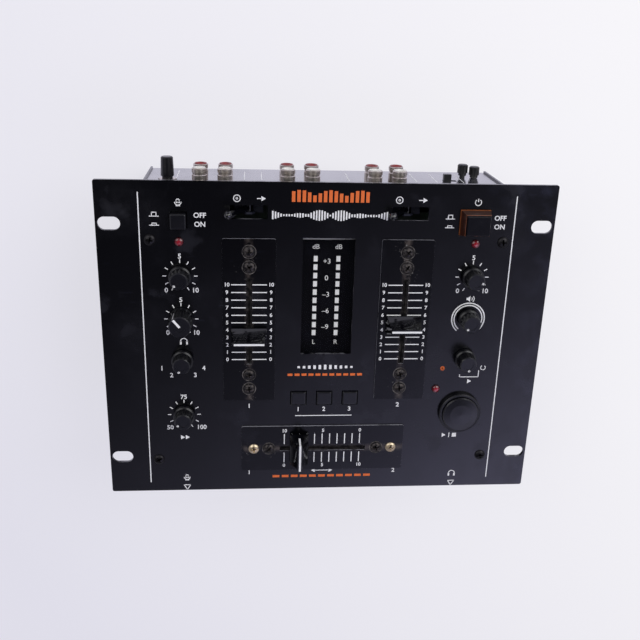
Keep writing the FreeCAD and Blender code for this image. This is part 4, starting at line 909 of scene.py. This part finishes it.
def rear_print():
    """Dividers and group numbers on the rear wall, read from behind."""
    wall = Matrix.Translation((0.0, REAR_WALL_Y, 0.0)) @ Matrix(((-1, 0, 0), (0, 0, 1), (0, 1, 0))).to_4x4()
    white = Print(wall)
    for x in DIVIDER_XS:
        white.bar(-x, DIVIDER_Z, STROKE, DIVIDER)
    for number, x in enumerate(PHONO_BLOCKS, 1):
        white.word(str(number), -x, GROUP_NUMBER_Z, LETTER)
    white.finish("rear_print", WHITE_INK, "meter_white")


panel_print()
rear_print()


# Screws with cross recesses, and the rings of dust round the ones on the faders

def screw_tree(material):
    """Half-round heads with two crossed slots cut into their tops."""
    tree = Growth("screw_heads", {
        "Radius": SCREW_RADIUS, "Height": SCREW_HEIGHT, "Recess Length": RECESS_LENGTH,
        "Recess Width": RECESS_WIDTH, "Recess Depth": RECESS_DEPTH})
    ball = tree.add("GeometryNodeMeshUVSphere", None, {"Segments": 24, "Rings": 12, "Radius": 1.0})
    radius, height = tree.size("Radius"), tree.size("Height")
    head = tree.moved(ball.outputs[0], Scale=tree.vector(radius, radius, height))
    long, wide, deep = tree.size("Recess Length"), tree.size("Recess Width"), tree.size("Recess Depth")
    arms = []
    for size in (tree.vector(long, wide, 2 * deep), tree.vector(wide, long, 2 * deep)):
        arm = tree.add("GeometryNodeMeshCube", None, {"Size": size})
        arms.append(tree.moved(arm.outputs[0], Translation=tree.vector(0.0, 0.0, height)))
    cut = tree.add("GeometryNodeMeshBoolean", {"operation": "DIFFERENCE"}, {"Mesh 1": head, "Mesh 2": arms})
    tree.finish(cut.outputs[0], material)
    return tree


def screw_heads(name, slot, spots):
    """A piece with a screw head on each (place, axis) spot."""
    mesh = screw_tree(FINISHES[slot]).grow(f"{slot}_spots", spots)
    return new_piece(name, mesh, "chassis")


def fader_screw_spots(offset):
    """Spots at an offset from the middle of the channel plates, and of the crossfader's plate."""
    spots = [((x, PLATE_CENTRE_Y + end * offset, PLATE_TOP), (0, 0, 1)) for x in CHANNELS for end in (-1, 1)]
    return spots, [((end * offset, CROSS_ROW, PLATE_TOP), (0, 0, 1)) for end in (-1, 1)]


def screws():
    """All the screw heads, and a ring of dust round each black one on the fader plates."""
    outer, cross_outer = fader_screw_spots(PLATE_OUTER_SCREW)
    inner, cross_inner = fader_screw_spots(PLATE_INNER_SCREW)
    ringed = outer + inner + cross_inner
    panel = [((x, y, 0.0), (0, 0, 1)) for x in (-PANEL_SCREW_X, PANEL_SCREW_X) for y in PANEL_SCREW_YS]
    sides = [((side * SIDE_X, y, z), (side, 0, 0))
             for side in (-1, 1) for y in (-SIDE_SCREW_Y, SIDE_SCREW_Y) for z in SIDE_SCREW_ZS]
    rear = [((x, REAR_WALL_Y, PHONO_SCREW_Z), (0, 1, 0)) for x in PHONO_BLOCKS]
    feet = [((x, y, FOOT_SCREW_Z), (0, 0, -1)) for x in (-FOOT_X, FOOT_X) for y in (-FOOT_Y, FOOT_Y)]
    black = screw_heads("black_screw_heads", "black_screw", ringed + panel + sides + rear + feet)
    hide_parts("black_screws")
    brass = screw_heads("brass_screw_heads", "brass_screw", cross_outer)
    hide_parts("crossfader_screws")
    rings = Print()
    for (x, y, z), _ in ringed:
        rings.arc(x, y, RING_RADIUS, RING_WIDTH, 0.0, 360.0, 32, z)
    rings.finish("dust_rings", DUST_RING, "plate_paint")


screws()


# Marks on the moving pieces, and felt in the fader slots

def centre_of(node):
    """A node's middle, and the level of ink on its top, in millimetres."""
    low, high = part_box(node)
    return (low + high) / (2 * MM), high.z / MM - INK_THICK + INK_PROUD


def cap_marks():
    """The white line along each fader cap's ridge."""
    for name, turn in (("channel_1", 0.0), ("channel_2", 0.0), ("crossfader", 90.0)):
        middle, level = centre_of(f"{name}_cap")
        line = Print(Matrix.Translation((middle.x, middle.y, level)))
        line.bar(0.0, 0.0, CAP_RIDGE, CAP_LINE, 0.0, turn)
        line.finish(f"{name}_cap_line", WHITE_INK, "meter_white", f"{name}_fader")


def pointer_marks():
    """A white dot on each small knob's rim, and a white line over the tall one and down its side."""
    for name, pointer in POINTERS.items():
        middle, level = centre_of(f"{name}_knob")
        knob = Matrix.Translation((middle.x, middle.y, 0.0)) @ Matrix.Rotation(math.radians(-pointer), 4, "Z")
        mark = Print(knob @ Matrix.Translation((0.0, 0.0, level)))
        if name == "cue_level":
            mark.bar(0.0, LINE_LENGTH / 2, LINE_WIDTH, LINE_LENGTH)
            side = Matrix.Translation((0.0, SIDE_LINE_RADIUS, 0.0)) @ Matrix.Rotation(-math.pi / 2, 4, "X")
            mark.base = Matrix.Scale(MM, 4) @ knob @ side
            length = SIDE_LINE_TOP - SIDE_LINE_LOW
            mark.bar(0.0, -(SIDE_LINE_TOP + SIDE_LINE_LOW) / 2, SIDE_LINE_WIDTH, length)
        else:
            mark.arc(0.0, DOT_PLACE, DOT_RADIUS / 2, DOT_RADIUS, 0.0, 360.0, 14)
        mark.finish(f"{name}_pointer", WHITE_INK, "meter_white", name)


def slot_lips():
    """Dusty felt lips along both sides of every fader slot, frayed where the lever runs."""
    draw = random.Random(LIP_SEED)
    lips = bmesh.new()
    places = [Matrix.Translation((x, PLATE_CENTRE_Y, 0.0)) for x in CHANNELS]
    places.append(Matrix.Translation((0.0, CROSS_ROW, 0.0)) @ Matrix.Rotation(math.pi / 2, 4, "Z"))
    for place in places:
        matrix = Matrix.Scale(MM, 4) @ place
        for side in (-1, 1):
            rows = []
            for step in range(LIP_STEPS + 1):
                along = SLOT_HALF_LENGTH * (2 * step / LIP_STEPS - 1)
                inner = LIP_INNER + LIP_FRAY * draw.random()
                corners = ((inner, LIP_LOW), (inner, LIP_HIGH),
                           (SLOT_HALF_WIDTH, LIP_HIGH), (SLOT_HALF_WIDTH, LIP_LOW))
                rows.append([lips.verts.new(matrix @ Vector((side * x, along, z))) for x, z in corners])
            lips.faces.new(rows[0])
            lips.faces.new(rows[-1])
            for near, far in zip(rows, rows[1:]):
                for i in range(4):
                    lips.faces.new((near[i - 1], near[i], far[i], far[i - 1]))
    solid_piece("slot_lips", lips, LIP_FELT)


cap_marks()
pointer_marks()
slot_lips()


# Camera, floor and light

def place_camera():
    """The photograph's camera, rolled a little about its own axis."""
    forward = (CAMERA_AIM - CAMERA_PLACE).normalized()
    right = forward.cross(Vector((0.0, 1.0, 0.0))).normalized()
    right = Matrix.Rotation(-CAMERA_ROLL, 3, forward) @ right
    above = right.cross(forward)
    turn = Matrix((right, above, -forward)).transposed().to_4x4()
    lens = bpy.data.cameras.new("camera")
    lens.lens, lens.sensor_width = CAMERA_LENS, CAMERA_SENSOR
    camera = bpy.data.objects.new("camera", lens)
    camera.matrix_world = Matrix.Translation(CAMERA_PLACE) @ turn
    bpy.context.scene.collection.objects.link(camera)
    bpy.context.scene.camera = camera


def pale_paper():
    """Paper that takes the shadow, partly lit by itself where it is seen or mirrored. Its colour and glow are
    painted lighter towards the right and rear, like light falling from that side, with a little random tone.
    """
    paper = Finish("pale_floor", Roughness=0.85)
    # Painted light: lighter towards the right and rear, darker towards the left and front
    painted_falloff = (paper.x + paper.y * 0.45).ramp(-0.30, 0.30) * 0.9 + paper.noise(3.0, 2.0) * 0.1
    paper.set("Base Color", paper.mix(painted_falloff, (0.84, 0.835, 0.88, 1.0), (0.89, 0.885, 0.91, 1.0)))
    rays = paper.add("ShaderNodeLightPath").outputs
    seen = Wire(paper, rays["Is Camera Ray"])
    mirrored = Wire(paper, rays["Is Glossy Ray"])
    through = Wire(paper, rays["Is Transmission Ray"])
    share = (seen.at_least(through) * FLOOR_SEEN).at_least(mirrored * FLOOR_MIRRORED)
    # The glow carries the same painted falloff
    direct = paper.mix(painted_falloff, (0.77, 0.76, 0.85, 1.0), (1.0, 0.99, 1.0, 1.0))
    shown = paper.mix(mirrored, direct, (0.87, 0.85, 1.0, 1.0))
    glow = paper.add("ShaderNodeEmission", None, {"Color": shown})
    both = paper.add("ShaderNodeMixShader", None, {0: share, 1: paper.shader.outputs[0], 2: glow.outputs[0]})
    paper.tree.links.new(both.outputs[0], paper.output.inputs["Surface"])
    return paper.material


def lay_floor():
    """A wide sheet under the feet."""
    level = CAD_BOX[0].z
    corners = [(x * FLOOR_HALF, y * FLOOR_HALF, level) for x, y in ((-1, -1), (1, -1), (1, 1), (-1, 1))]
    sheet = bpy.data.meshes.new("floor")
    sheet.from_pydata(corners, [], [(0, 1, 2, 3)])
    sheet.materials.append(pale_paper())
    floor = bpy.data.objects.new("floor", sheet)
    bpy.context.scene.collection.objects.link(floor)


def hang_lights():
    """Round lights that face the object."""
    for name, place, size, power in LIGHTS:
        lamp = bpy.data.lights.new(name, "AREA")
        lamp.shape, lamp.size, lamp.energy = "DISK", size, power
        light = bpy.data.objects.new(name, lamp)
        light.location = place
        light.rotation_euler = (-Vector(place)).to_track_quat("-Z", "Y").to_euler()
        bpy.context.scene.collection.objects.link(light)


def surround():
    """A room to reflect: pale walls, a dark ceiling and a high front window. The camera sees it plain."""
    world = bpy.data.worlds.new("studio")
    world.use_nodes = True
    world.node_tree.nodes.clear()
    room = Nodes(world.node_tree)
    right, rear, above = room.split(room.add("ShaderNodeTexCoord").outputs["Generated"])
    walls = 0.85 - above.ramp(0.15, 0.6) * 0.81
    overhead = above.ramp(0.55, 0.82)
    window = (right * 0.5 - rear).ramp(0.14, 0.62) * overhead
    glare = window * window * 1.2 + (right * 0.8 - rear * 1.2).ramp(0.72, 0.86) * overhead * 2.2
    tint = room.mix(window, (0.86, 0.85, 1.0, 1.0), (0.68, 0.66, 1.0, 1.0))
    air = room.add("ShaderNodeBackground", None, {"Color": tint, "Strength": walls.at_least(glare)})
    plain = room.add("ShaderNodeBackground", None, {"Color": (0.86, 0.855, 0.91, 1.0)})
    seen = room.add("ShaderNodeLightPath").outputs["Is Camera Ray"]
    both = room.add("ShaderNodeMixShader", None, {0: seen, 1: air.outputs[0], 2: plain.outputs[0]})
    room.add("ShaderNodeOutputWorld", None, {"Surface": both.outputs[0]})
    bpy.context.scene.world = world


place_camera()
lay_floor()
hang_lights()
surround()
bpy.context.scene.view_settings.view_transform = "Standard"
